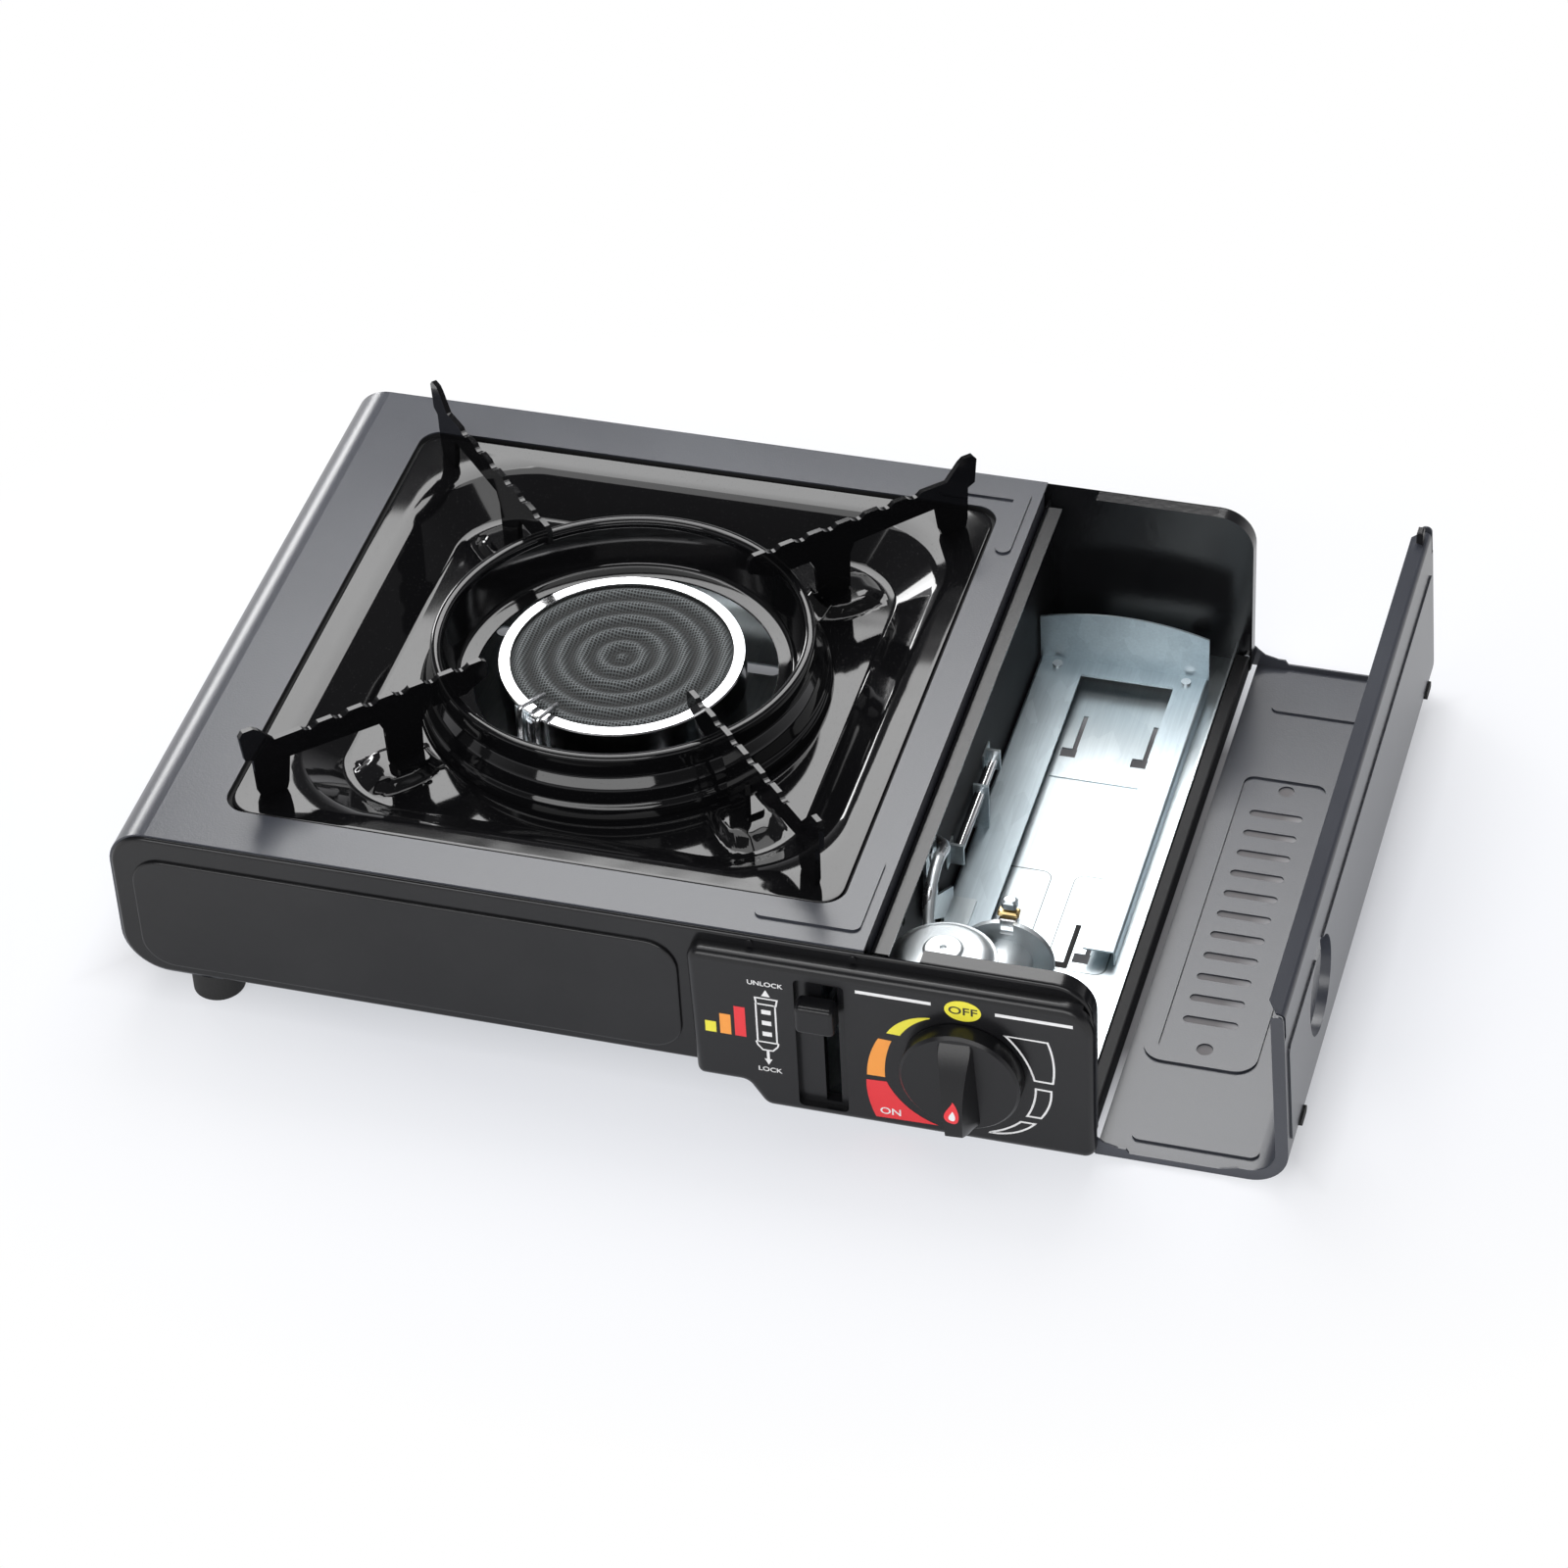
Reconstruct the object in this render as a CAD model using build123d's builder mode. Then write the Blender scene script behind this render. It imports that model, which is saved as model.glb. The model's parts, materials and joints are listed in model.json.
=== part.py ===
from build123d import *
import os
from math import asin, cos, degrees, radians, sin, tan

os.makedirs("parts", exist_ok=True)

# Butane cassette stove with its cartridge lid open. Millimetres, +Z up, table at z = 0.
# X runs along the stove, Y from the control side (-Y) to the back (+Y).
# The origin lies on the table, in the middle of the body.

# ---- driving dimensions ----
body_length = 360.0
body_depth = 270.0
body_top = 77.0
body_bottom = 12.0
sheet = 0.8
top_corner_radius = 15.0
bottom_corner_radius = 17.0
split_x = 98.5            # the top cover ends here and the cartridge compartment starts
low_step_x = 62.0         # right of here the housing reaches down almost to the table
low_bottom = 1.8
rim_depth = 7.0
cover_setback = 1.4       # the cover stops short of the end faces and shows their rims

recess_x = -29.3          # centre of the burner and of the sunk square around it
recess_length = 229.0
recess_width = 228.0
ledge_drop = 3.4
burner_top = 77.0
pan_rest = 99.5           # height that a pan stands at
support_tip = 107.5
support_reach = 151.0

cartridge_x = 137.0
cartridge_z = 39.5
knob_x = 135.2
knob_z = 35.8
knob_radius = 21.5
panel_front = 141.5       # distance of the control panel's face from the middle plane

hinge_x = 176.5
hinge_z = 5.5
pin_radius = 1.5
pin_clearance = 0.05
lid_half = 136.2
lid_bend_x = 248.6
lid_bend_radius = 14.0
lid_gap = 0.2             # between the open lid and the table

pivot_y = -62.0
pivot_z = 36.0
lever_swing = 23.6        # degrees from UNLOCK down to LOCK, half of it above level
crank_length = 20.0
lever_x = 87.0
slot_bottom = 7.0
slot_top = 62.0

half_length = body_length / 2
half_depth = body_depth / 2
inner_half = half_depth - sheet - 0.1
cover_half = half_depth - cover_setback
plate_z = body_bottom + 2 * sheet
floor_z = low_bottom + sheet
seat_z = body_top - ledge_drop + sheet


def save(part, label):
    """Label a finished piece and write it to its own file."""
    part.label = label
    export_step(part, f"parts/{label}.step")


def nearest(corners, x, y):
    """The sketch corner that lies nearest to a spot."""
    return corners.sort_by_distance((x, y, 0))[0]


def folded(plane, points, radii, thickness, side=Side.LEFT):
    """Cross-section of folded sheet: a path with bends, thickened to one side of its run."""
    with BuildSketch(plane) as section:
        with BuildLine():
            FilletPolyline(*points, radius=radii)
            offset(amount=thickness, side=side)
        make_face()
    return section.sketch


# ---- end panels: pressed caps that close the housing at the front and at the back ----
field_spot = (-70.0, 42.0)
field_length = 203.0
field_height = 50.0
field_radius = 12.0
field_rise = 1.2
notch_end = 118.5


def end_outline(plane, inset):
    """Outline of an end panel: shallow under the burner, deep beside the cartridge."""
    step_left = low_step_x - 5
    step_right = low_step_x + 4
    low = low_bottom - sheet
    with BuildSketch(plane) as outline:
        with BuildLine():
            Polyline(
                (-half_length, body_bottom), (-half_length, body_top), (half_length, body_top),
                (half_length, low), (step_right, low), (step_left, body_bottom), close=True)
        make_face()
        fillet(nearest(outline.vertices(), -half_length, body_top), top_corner_radius)
        fillet(nearest(outline.vertices(), half_length, body_top), top_corner_radius)
        fillet(nearest(outline.vertices(), -half_length, body_bottom), bottom_corner_radius)
        fillet(nearest(outline.vertices(), half_length, low), 4.8)
        offset(amount=-inset, kind=Kind.INTERSECTION)
    return outline.sketch


def make_end_panel(side):
    """side is +1 for the front panel and -1 for the rear one."""
    face = Plane.XZ.offset(side * half_depth)
    inward = -side
    outermost = 0 if side > 0 else -1
    with BuildPart() as panel:
        extrude(end_outline(face, sheet), amount=inward * rim_depth)
        fillet(panel.edges().group_by(Axis.Y)[outermost], 1.5)
        extrude(end_outline(face.offset(inward * sheet), 2 * sheet), amount=inward * rim_depth,
                mode=Mode.SUBTRACT)
        # raised field, pressed outwards and hollow behind
        with BuildSketch(face):
            with Locations(field_spot):
                RectangleRounded(field_length, field_height, field_radius)
        extrude(amount=side * field_rise)
        fillet(panel.edges().group_by(Axis.Y)[outermost], 0.9)
        with BuildSketch(face.offset(side * (field_rise - sheet))):
            with Locations(field_spot):
                RectangleRounded(field_length - 2 * sheet, field_height - 2 * sheet, field_radius - sheet)
        extrude(amount=inward * (sheet + 0.6), mode=Mode.SUBTRACT)
        # rim cut away where the lid's free edge comes down
        with BuildSketch(Plane.XY.offset(body_top)):
            with Locations(((split_x + notch_end) / 2, -side * (half_depth - sheet - rim_depth / 2))):
                Rectangle(notch_end - split_x, rim_depth)
        extrude(amount=-6, mode=Mode.SUBTRACT)
        # holes of the lid's hinge pins
        with BuildSketch(face):
            with Locations((hinge_x, hinge_z)):
                Circle(pin_radius)
        extrude(amount=2 * sheet, both=True, mode=Mode.SUBTRACT)
        if side > 0:
            # openings for the lock lever and the valve spindle, behind the control panel
            with BuildSketch(face):
                with Locations((lever_x, (slot_top + slot_bottom) / 2)):
                    Rectangle(7, slot_top - slot_bottom)
                with Locations((knob_x, knob_z)):
                    Circle(8)
            extrude(amount=2 * sheet, both=True, mode=Mode.SUBTRACT)
        else:
            # air slots
            with BuildSketch(face):
                with Locations(field_spot):
                    with GridLocations(32, 12, 5, 3):
                        SlotOverall(24, 4)
            extrude(amount=2 * field_rise, both=True, mode=Mode.SUBTRACT)
    return panel.part


save(make_end_panel(1), "front_panel")
save(make_end_panel(-1), "rear_panel")


# ---- top cover: top and left side in one sheet, with a sunk square that carries the drip tray ----
ledge_width = 6.5
rib_width = 6.0
rib_rise = 0.9
rib_spot = (91.7, 122.5)
cover_edge_x = -143.0
foot_spots = [(-149.0, -124.5), (-149.0, 124.5)]
stud_radius = 2.4

with BuildPart() as top_cover:
    section = folded(
        Plane.XZ.offset(cover_half),
        [(split_x, body_top), (-half_length, body_top), (-half_length, body_bottom),
         (cover_edge_x, body_bottom)],
        [top_corner_radius, bottom_corner_radius], sheet)
    extrude(section, amount=-2 * cover_half)
    # sunk square: wall, ledge and opening
    with BuildSketch(Plane.XY.offset(body_top)):
        with Locations((recess_x, 0)):
            RectangleRounded(recess_length + 2 * sheet, recess_width + 2 * sheet, 9 + sheet)
    extrude(amount=-ledge_drop)
    with BuildSketch(Plane.XY.offset(body_top)):
        with Locations((recess_x, 0)):
            RectangleRounded(recess_length, recess_width, 9)
    extrude(amount=-ledge_drop + sheet, mode=Mode.SUBTRACT)
    with BuildSketch(Plane.XY.offset(body_top)):
        with Locations((recess_x, 0)):
            RectangleRounded(recess_length - 2 * ledge_width, recess_width - 2 * ledge_width, 8)
    extrude(amount=-2 * ledge_drop, mode=Mode.SUBTRACT)
    # edge turned down beside the cartridge compartment
    with BuildSketch(Plane.XY.offset(body_top - sheet)):
        with Locations((split_x - sheet / 2, 0)):
            Rectangle(sheet, 2 * (inner_half - rim_depth))
    extrude(amount=-10)
    # L-shaped stiffening ribs at the two right corners, hollow below
    for end in (-1, 1):
        for width, base, mode in (
                (rib_width, body_top, Mode.ADD), (rib_width - 2 * sheet, body_top - sheet, Mode.SUBTRACT)):
            with BuildSketch(Plane.XY.offset(base)):
                with Locations((rib_spot[0] - 16, end * rib_spot[1])):
                    SlotCenterToCenter(32, width)
                with Locations((rib_spot[0], end * (rib_spot[1] - 16))):
                    SlotCenterToCenter(32, width, rotation=90)
            extrude(amount=rib_rise, mode=mode)
    with BuildSketch(Plane.XY.offset(body_bottom)):
        with Locations(*foot_spots):
            Circle(stud_radius)
    extrude(amount=sheet, mode=Mode.SUBTRACT)
save(top_cover.part, "top_cover")


# ---- base plate under the burner ----
plate_left = -163.0
plate_right = low_step_x + 6
with BuildPart() as base_plate:
    with BuildSketch(Plane.XY.offset(plate_z)):
        with Locations(((plate_right + plate_left) / 2, 0)):
            Rectangle(plate_right - plate_left, 2 * inner_half)
        with Locations((recess_x, 0)):
            with GridLocations(42, 150, 4, 2):
                SlotOverall(30, 6, mode=Mode.SUBTRACT)
        with Locations(*foot_spots):
            Circle(stud_radius, mode=Mode.SUBTRACT)
    extrude(amount=sheet)
save(base_plate.part, "base_plate")


# ---- galvanised tray under the cartridge, and the black sill at its open side ----
tray_right = 173.0
tray_wall_top = 12.0
keyhole_spots = [(122.0, 66.0), (149.3, 65.5), (153.0, -44.0)]
short_foot_spots = [(155.0, -118.0), (155.0, 118.0)]

with BuildPart() as compartment_tray:
    section = folded(
        Plane.XZ.offset(inner_half),
        [(plate_right, plate_z + sheet), (plate_right, floor_z), (tray_right, floor_z),
         (tray_right, tray_wall_top)],
        [1.2, 1.2], sheet)
    extrude(section, amount=-2 * inner_half)
    with BuildSketch(Plane.XY.offset(floor_z)):
        with Locations(*keyhole_spots):
            Rectangle(6, 5)
        with Locations(*[(x + 1.8, y + 11) for x, y in keyhole_spots]):
            Rectangle(1.8, 22)
        with Locations(*short_foot_spots):
            Circle(stud_radius)
    extrude(amount=sheet, mode=Mode.SUBTRACT)
    # shallow pressed step across the floor
    with BuildSketch(Plane.XY.offset(floor_z + sheet)):
        with Locations((135, 52)):
            Rectangle(34, 1.6)
    extrude(amount=0.5)
save(compartment_tray.part, "compartment_tray")

sill_left = tray_right + 0.1
sill_right = 178.3
sill_half = inner_half - rim_depth
with BuildPart() as side_sill:
    section = folded(
        Plane.XZ.offset(sill_half),
        [(sill_left, floor_z + sheet), (sill_left, 11.5), (sill_right, 11.5), (sill_right, floor_z + sheet)],
        [1.0, 1.0], sheet, side=Side.RIGHT)
    extrude(section, amount=-2 * sill_half)
save(side_sill.part, "side_sill")


# ---- partition between burner and cartridge, with the ledge that the lid closes over ----
ledge_top = 70.4
web_x = split_x + sheet
crank_tilt = lever_swing / 2
gas_z = 53.5
tube_hole = (-46.7, gas_z)
lever_stud_radius = 3.0

with BuildPart() as partition:
    section = folded(
        Plane.XZ.offset(inner_half),
        [(92.0, floor_z + sheet), (web_x, floor_z + sheet), (web_x, ledge_top - sheet),
         (105.5, ledge_top - sheet)],
        [1.2, 1.2], sheet)
    extrude(section, amount=-2 * inner_half)
    with BuildSketch(Plane.YZ.offset(split_x)):
        # way of the crank pin, stud of the lever, hole of the gas tube, spare holes
        with Locations((pivot_y, pivot_z + crank_length - 0.2)):
            SlotOverall(2 * crank_length * sin(radians(crank_tilt)) + 6, 5.4)
        with Locations((pivot_y, pivot_z)):
            Circle(lever_stud_radius)
        with Locations(tube_hole):
            Circle(3)
        with Locations((-86, 48), (-86, 56), (-92, 40), (70, 60), (20, 60)):
            Circle(1.8)
    extrude(amount=sheet, mode=Mode.SUBTRACT)
    # ledge and upper web stop short of the end panels' rims
    with BuildSketch(Plane.XY.offset(ledge_top)):
        for end in (-1, 1):
            with Locations((web_x + 2, end * inner_half)):
                Rectangle(12, 2 * rim_depth)
    extrude(amount=-2, mode=Mode.SUBTRACT)
save(partition.part, "partition")


# ---- control panel: moulded black plastic over the right part of the front ----
panel_wall = 2.0
channel_x = 84.0
channel_width = 18.0
channel_height = 60.0
channel_depth = 3.0
lever_way = 5.6
panel_edge = 3.2


def panel_outline(plane, inset):
    """Outline of the control panel, with the step that follows the housing's underside."""
    corners = (
        (36.2, 71.5, 5), (37.6, 12, 3), (56, 12, 4), (62.5, 1.8, 5), (181, 1.8, 4), (181, 71.5, 12))
    with BuildSketch(plane) as outline:
        with BuildLine():
            Polyline(*[(x, y) for x, y, radius in corners], close=True)
        make_face()
        for x, y, radius in corners:
            fillet(nearest(outline.vertices(), x, y), radius)
        if inset:
            offset(amount=-inset, kind=Kind.INTERSECTION)
    return outline.sketch


panel_back = Plane.XZ.offset(half_depth)
panel_inside = panel_front - half_depth - panel_wall
channel_z = (slot_top + slot_bottom) / 2 + 1
with BuildPart() as control_panel:
    extrude(panel_outline(panel_back, 0), amount=panel_front - half_depth)
    fillet(control_panel.edges().group_by(Axis.Y)[0], panel_edge)
    extrude(panel_outline(panel_back, panel_wall), amount=panel_inside, mode=Mode.SUBTRACT)
    # walls around the lever's channel, boss around the spindle
    with BuildSketch(panel_back):
        with Locations((channel_x, channel_z)):
            Rectangle(channel_width + 3, channel_height + 3)
        with Locations((knob_x, knob_z)):
            Circle(11)
    extrude(amount=panel_inside)
    with BuildSketch(Plane.XZ.offset(panel_front)):
        with Locations((channel_x, channel_z)):
            RectangleRounded(channel_width, channel_height, 2)
    extrude(amount=-channel_depth, mode=Mode.SUBTRACT)
    with BuildSketch(panel_back):
        with Locations((lever_x, (slot_top + slot_bottom) / 2)):
            Rectangle(lever_way, slot_top - slot_bottom)
        with Locations((knob_x, knob_z)):
            Circle(6)
    extrude(amount=panel_front - half_depth, mode=Mode.SUBTRACT)
    # room behind the right edge for the lid's end flange and its ear
    with BuildSketch(panel_back):
        with Locations((181, 40)):
            Rectangle(9.6, 80)
        with Locations((177, 4)):
            Rectangle(12, 14)
    extrude(amount=2.2, mode=Mode.SUBTRACT)
save(control_panel.part, "control_panel")


# ---- knob and valve spindle ----
knob_back = panel_front + 0.5
disc_face = knob_back + 7.0
grip_length = 40.0
grip_width = 13.0
grip_draft = 14.5          # degrees that each side of the grip leans in
grip_height = 11.5
spindle_depth = 9.0
disc_edge = 1.0            # chamfer round the disc
grip_tilt = radians(3.4)  # the pointer stands a little to the right of straight down
spindle_end = 119.0

with BuildPart() as knob:
    # drafted grip bar, cut along its back by an arch that is highest near the pointer's end
    with BuildSketch(Plane.XZ.offset(disc_face - 1)):
        with Locations((knob_x, knob_z)):
            RectangleRounded(grip_width, grip_length, 3, rotation=degrees(grip_tilt))
    extrude(amount=14, taper=grip_draft)
    bar_side = Plane(
        origin=(knob_x, 0, knob_z), x_dir=(0, -1, 0), z_dir=(-cos(grip_tilt), 0, -sin(grip_tilt)))
    with BuildSketch(bar_side):
        with BuildLine():
            Polyline(
                (disc_face - 1, 20), (disc_face - 1, -20.3), (disc_face + 1, -20.3),
                (disc_face + grip_height, -14))
            ThreePointArc((disc_face + grip_height, -14), (disc_face + 8.5, 4), (disc_face - 1, 20))
        make_face()
    extrude(amount=grip_width, both=True, mode=Mode.INTERSECT)
    with BuildSketch(Plane.XZ.offset(knob_back)):
        with Locations((knob_x, knob_z)):
            Circle(knob_radius)
    extrude(amount=disc_face - disc_edge - knob_back)
    with BuildSketch(Plane.XZ.offset(disc_face - disc_edge)):
        with Locations((knob_x, knob_z)):
            Circle(knob_radius)
    extrude(amount=disc_edge, taper=45)
    with BuildSketch(Plane.XZ.offset(knob_back)):
        with Locations((knob_x, knob_z)):
            Circle(3)
    extrude(amount=spindle_depth, mode=Mode.SUBTRACT)
save(knob.part, "knob")

with BuildPart() as valve_spindle:
    with BuildSketch(Plane.XZ.offset(spindle_end)):
        with Locations((knob_x, knob_z)):
            Circle(3)
    extrude(amount=knob_back + spindle_depth - spindle_end)
save(valve_spindle.part, "valve_spindle")


# ---- valve, igniter and regulator behind the control panel ----
bracket_front = half_depth - sheet
valve_front = bracket_front - 1.5
valve_back = 102.0
neck_end = 88.0
valve_drop = 12.0
valve_rise = 14.7
valve_middle = knob_z + (valve_rise - valve_drop) / 2
igniter_z = 15.5

with BuildPart() as valve_bracket:
    with BuildSketch(Plane.XZ.offset(bracket_front)):
        with Locations((knob_x, 34)):
            RectangleRounded(44, 52, 4)
            with GridLocations(36, 44, 2, 2):
                Circle(1.7, mode=Mode.SUBTRACT)
        with Locations((knob_x, knob_z)):
            Circle(5, mode=Mode.SUBTRACT)
    extrude(amount=valve_front - bracket_front)
save(valve_bracket.part, "valve_bracket")

with BuildPart() as valve_body:
    with BuildSketch(Plane.XZ.offset(valve_front)):
        with Locations((knob_x, valve_middle)):
            RectangleRounded(25, valve_drop + valve_rise, 3)
    extrude(amount=valve_back - valve_front)
    with BuildSketch(Plane.XZ.offset(valve_back)):
        with Locations((cartridge_x, cartridge_z)):
            Circle(9.5)
    extrude(amount=neck_end - valve_back)
    with BuildSketch(Plane.XZ.offset(valve_front)):
        with Locations((knob_x, knob_z)):
            Circle(3 + pin_clearance)
    extrude(amount=spindle_end - 1 - valve_front, mode=Mode.SUBTRACT)
save(valve_body.part, "valve_body")

# spigot that the cartridge's nozzle is pressed onto, with the flange that locates its collar
with BuildPart() as cartridge_inlet:
    with BuildSketch(Plane.XZ.offset(neck_end)):
        with Locations((cartridge_x, cartridge_z)):
            Circle(17)
        with Locations((cartridge_x, cartridge_z + 16)):
            Rectangle(5, 8, mode=Mode.SUBTRACT)
    extrude(amount=-2)
    for start, length, radius in ((neck_end - 2, 3, 5.2), (neck_end - 5, 3.5, 3.0)):
        with BuildSketch(Plane.XZ.offset(start)):
            with Locations((cartridge_x, cartridge_z)):
                Circle(radius)
        extrude(amount=-length)
    with BuildSketch(Plane.XZ.offset(neck_end)):
        with Locations((cartridge_x, cartridge_z)):
            Circle(1.1)
    extrude(amount=-9, mode=Mode.SUBTRACT)
save(cartridge_inlet.part, "cartridge_inlet")

with BuildPart() as piezo_igniter:
    with BuildSketch(Plane.XZ.offset(valve_front)):
        with Locations((knob_x, igniter_z)):
            RectangleRounded(15, 15, 5)
    extrude(amount=-24)
    with BuildSketch(Plane.XZ.offset(valve_front - 24)):
        with Locations((knob_x, igniter_z)):
            Circle(4)
    extrude(amount=-8)
save(piezo_igniter.part, "piezo_igniter")

regulator_spot = (119.3, -107.0)
regulator_radius = 19.0
valve_top = knob_z + valve_rise
valve_left = knob_x - 12.5

with BuildPart() as regulator_body:
    with BuildSketch(Plane.XY.offset(36)):
        with Locations(regulator_spot):
            Circle(regulator_radius)
        with Locations((valve_left - 0.2 + 15, regulator_spot[1])):
            Rectangle(30, 50, mode=Mode.SUBTRACT)
    extrude(amount=valve_top - 36)
    with BuildSketch(Plane.XY.offset(valve_top)):
        with Locations(regulator_spot):
            Circle(regulator_radius)
    extrude(amount=2)
save(regulator_body.part, "regulator_body")

with BuildPart() as regulator_cap:
    with BuildSketch(Plane.XY.offset(valve_top + 2)):
        with Locations(regulator_spot):
            Circle(regulator_radius)
    extrude(amount=1.2)
    with BuildSketch(Plane.XY.offset(valve_top + 3.2)):
        with Locations(regulator_spot):
            Circle(17)
    extrude(amount=3.6)
    chamfer(regulator_cap.edges().group_by(Axis.Z)[-1], 2)
    with BuildSketch(Plane.XY.offset(valve_top + 6.8)):
        with Locations(regulator_spot):
            Circle(7)
    extrude(amount=1.2)
save(regulator_cap.part, "regulator_cap")


# ---- burner: stand, cup, ceramic plate and chromed ring ----
burner_axis = Axis((recess_x, 0, 0), (0, 0, 1))
cup_bottom = 41.0
cup_radius = 44.4
cup_inner = 43.2
plaque_bottom = 66.5
plaque_top = burner_top - sheet
ring_inner = 41.2
ring_outer = 45.6
skirt_bottom = 65.0


def above(height):
    """Horizontal plane with its origin on the burner's axis."""
    return Plane(origin=(recess_x, 0, height))


def radial(points):
    """Closed profile beside the burner's axis, given as radius and height."""
    with BuildSketch(Plane.XZ) as section:
        with BuildLine():
            Polyline([(recess_x + radius, height) for radius, height in points], close=True)
        make_face()
    return section.sketch


with BuildPart() as burner_cup:
    revolve(radial([
        (0, cup_bottom), (39, cup_bottom), (cup_radius, 46), (cup_radius, 75.5), (cup_inner, 75.5),
        (cup_inner, plaque_bottom), (40.5, plaque_bottom), (40.5, 48), (38, cup_bottom + 1.2),
        (0, cup_bottom + 1.2)]), axis=burner_axis)
save(burner_cup.part, "burner_cup")

# ceramic plate with concentric ridges on its fired face
ridge_pitch = 7.6
ridge_width = 5.0
ridge_rise = 0.6
with BuildPart() as ceramic_plaque:
    with BuildSketch(above(plaque_bottom)):
        Circle(43.0)
    extrude(amount=plaque_top - ridge_rise - plaque_bottom)
    with BuildSketch(above(plaque_top - ridge_rise)):
        for ridge in (4, 3, 2, 1):
            Circle(ridge_width + ridge_pitch * ridge)
            Circle(ridge_pitch * ridge, mode=Mode.SUBTRACT)
        Circle(ridge_width)
    extrude(amount=ridge_rise)
save(ceramic_plaque.part, "ceramic_plaque")

with BuildPart() as burner_ring:
    revolve(radial([
        (ring_inner, plaque_top), (ring_outer - sheet, plaque_top), (ring_outer - sheet, skirt_bottom),
        (ring_outer, skirt_bottom), (ring_outer, burner_top - 0.5), (ring_outer - 0.5, burner_top),
        (ring_inner, burner_top)]), axis=burner_axis)
save(burner_ring.part, "burner_ring")

stand_left = recess_x - 31
stand_right = recess_x + 31
stand_foot = plate_z + sheet
stand_sheet = 1.2
with BuildPart() as burner_stand:
    section = folded(
        Plane.XZ.offset(14),
        [(stand_left - 10, stand_foot), (stand_left, stand_foot), (stand_left, cup_bottom - stand_sheet),
         (stand_right, cup_bottom - stand_sheet), (stand_right, stand_foot), (stand_right + 10, stand_foot)],
        [2, 2, 2, 2], stand_sheet)
    extrude(section, amount=-28)
save(burner_stand.part, "burner_stand")

# mixing tube, turned 20 degrees towards the front, from the cup to beside the partition
tube_turn = radians(-20.0)
tube_end = 118.0
bell_length = 6.0
tube_way = Vector(cos(tube_turn), sin(tube_turn), 0)
tube_centre = Vector(recess_x, 0, gas_z)


def along_tube(distance):
    """Plane across the mixing tube, at a distance from the burner's axis; its x points up."""
    return Plane(origin=tube_centre + tube_way * distance, x_dir=(0, 0, 1), z_dir=tube_way)


with BuildPart() as mixing_tube:
    with BuildSketch(along_tube(cup_radius + 0.1)):
        Circle(7.4)
        Circle(6.4, mode=Mode.SUBTRACT)
    extrude(amount=tube_end - bell_length - cup_radius)
    with BuildSketch(along_tube(tube_end - bell_length)):
        Circle(8.2)
        Circle(6.4, mode=Mode.SUBTRACT)
    extrude(amount=bell_length)
save(mixing_tube.part, "mixing_tube")

bracket_start = tube_end + 3
bracket_sheet = 1.5
bracket_foot = gas_z - floor_z - sheet
with BuildPart() as injector_bracket:
    with BuildSketch(along_tube(bracket_start)):
        with Locations((5 - bracket_foot / 2, 0)):
            Rectangle(bracket_foot + 10, 14)
        Circle(3.45, mode=Mode.SUBTRACT)
    extrude(amount=bracket_sheet)
    with BuildSketch(Plane(origin=tube_centre + tube_way * (bracket_start - 6) - Vector(0, 0, bracket_foot),
                           x_dir=tube_way)):
        Rectangle(12, 14)
    extrude(amount=bracket_sheet)
save(injector_bracket.part, "injector_bracket")

with BuildPart() as injector:
    with BuildSketch(along_tube(bracket_start + bracket_sheet)):
        RegularPolygon(5.6, 6)
    extrude(amount=4.5)
    with BuildSketch(along_tube(bracket_start - 5)):
        Circle(3.4)
    extrude(amount=5 + bracket_sheet)
    with BuildSketch(along_tube(bracket_start - 5)):
        Circle(0.6)
    extrude(amount=11, mode=Mode.SUBTRACT)
    with BuildSketch(along_tube(bracket_start + 3.5)):
        Circle(2.15)
    extrude(amount=2.5, mode=Mode.SUBTRACT)
save(injector.part, "injector")

# gas tube: out of the injector, through the partition, forward and down to the regulator
gas_radius = 2.1
gas_start = tube_centre + tube_way * (bracket_start + 3.6)
gas_corner = tube_centre + tube_way * 143.5
gas_route = [
    gas_start, gas_corner, Vector(106.4, -65.0, 60.0), Vector(107.2, -82.0, 57.0),
    Vector(110.5, -92.5, 46.0)]
gas_bends = [7.0, 16.0, 12.0]
with BuildPart() as gas_tube:
    with BuildLine() as gas_line:
        FilletPolyline(*gas_route, radius=gas_bends)
    with BuildSketch(Plane(origin=gas_start, z_dir=tube_way)):
        Circle(gas_radius)
    sweep(path=gas_line.wires()[0])
save(gas_tube.part, "gas_tube")


# ---- spark electrode and thermocouple on their bracket at the burner's edge ----
electrode_angle = 237.0
sleeve_radius = 2.4
sleeve_distance = ring_outer + 4.4
sleeve_bottom = 58.0


def beside_burner(angle, distance, height):
    """Point at an angle and a distance from the burner's axis."""
    turn = radians(angle)
    return Vector(recess_x + distance * cos(turn), distance * sin(turn), height)


def turned(angle, height):
    """Horizontal plane on the burner's axis, with its x at an angle."""
    return Plane(origin=(recess_x, 0, height), x_dir=(cos(radians(angle)), sin(radians(angle)), 0))


with BuildPart() as electrode_bracket:
    with BuildSketch(turned(electrode_angle, sleeve_bottom - 1)):
        with Locations((ring_outer + 0.6, 0)):
            Rectangle(1, 9)
    extrude(amount=17)
    with BuildSketch(turned(electrode_angle, sleeve_bottom - 1)):
        with Locations((ring_outer + 4.6, 0)):
            Rectangle(7.2, 20)
    extrude(amount=1)
save(electrode_bracket.part, "electrode_bracket")


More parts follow.
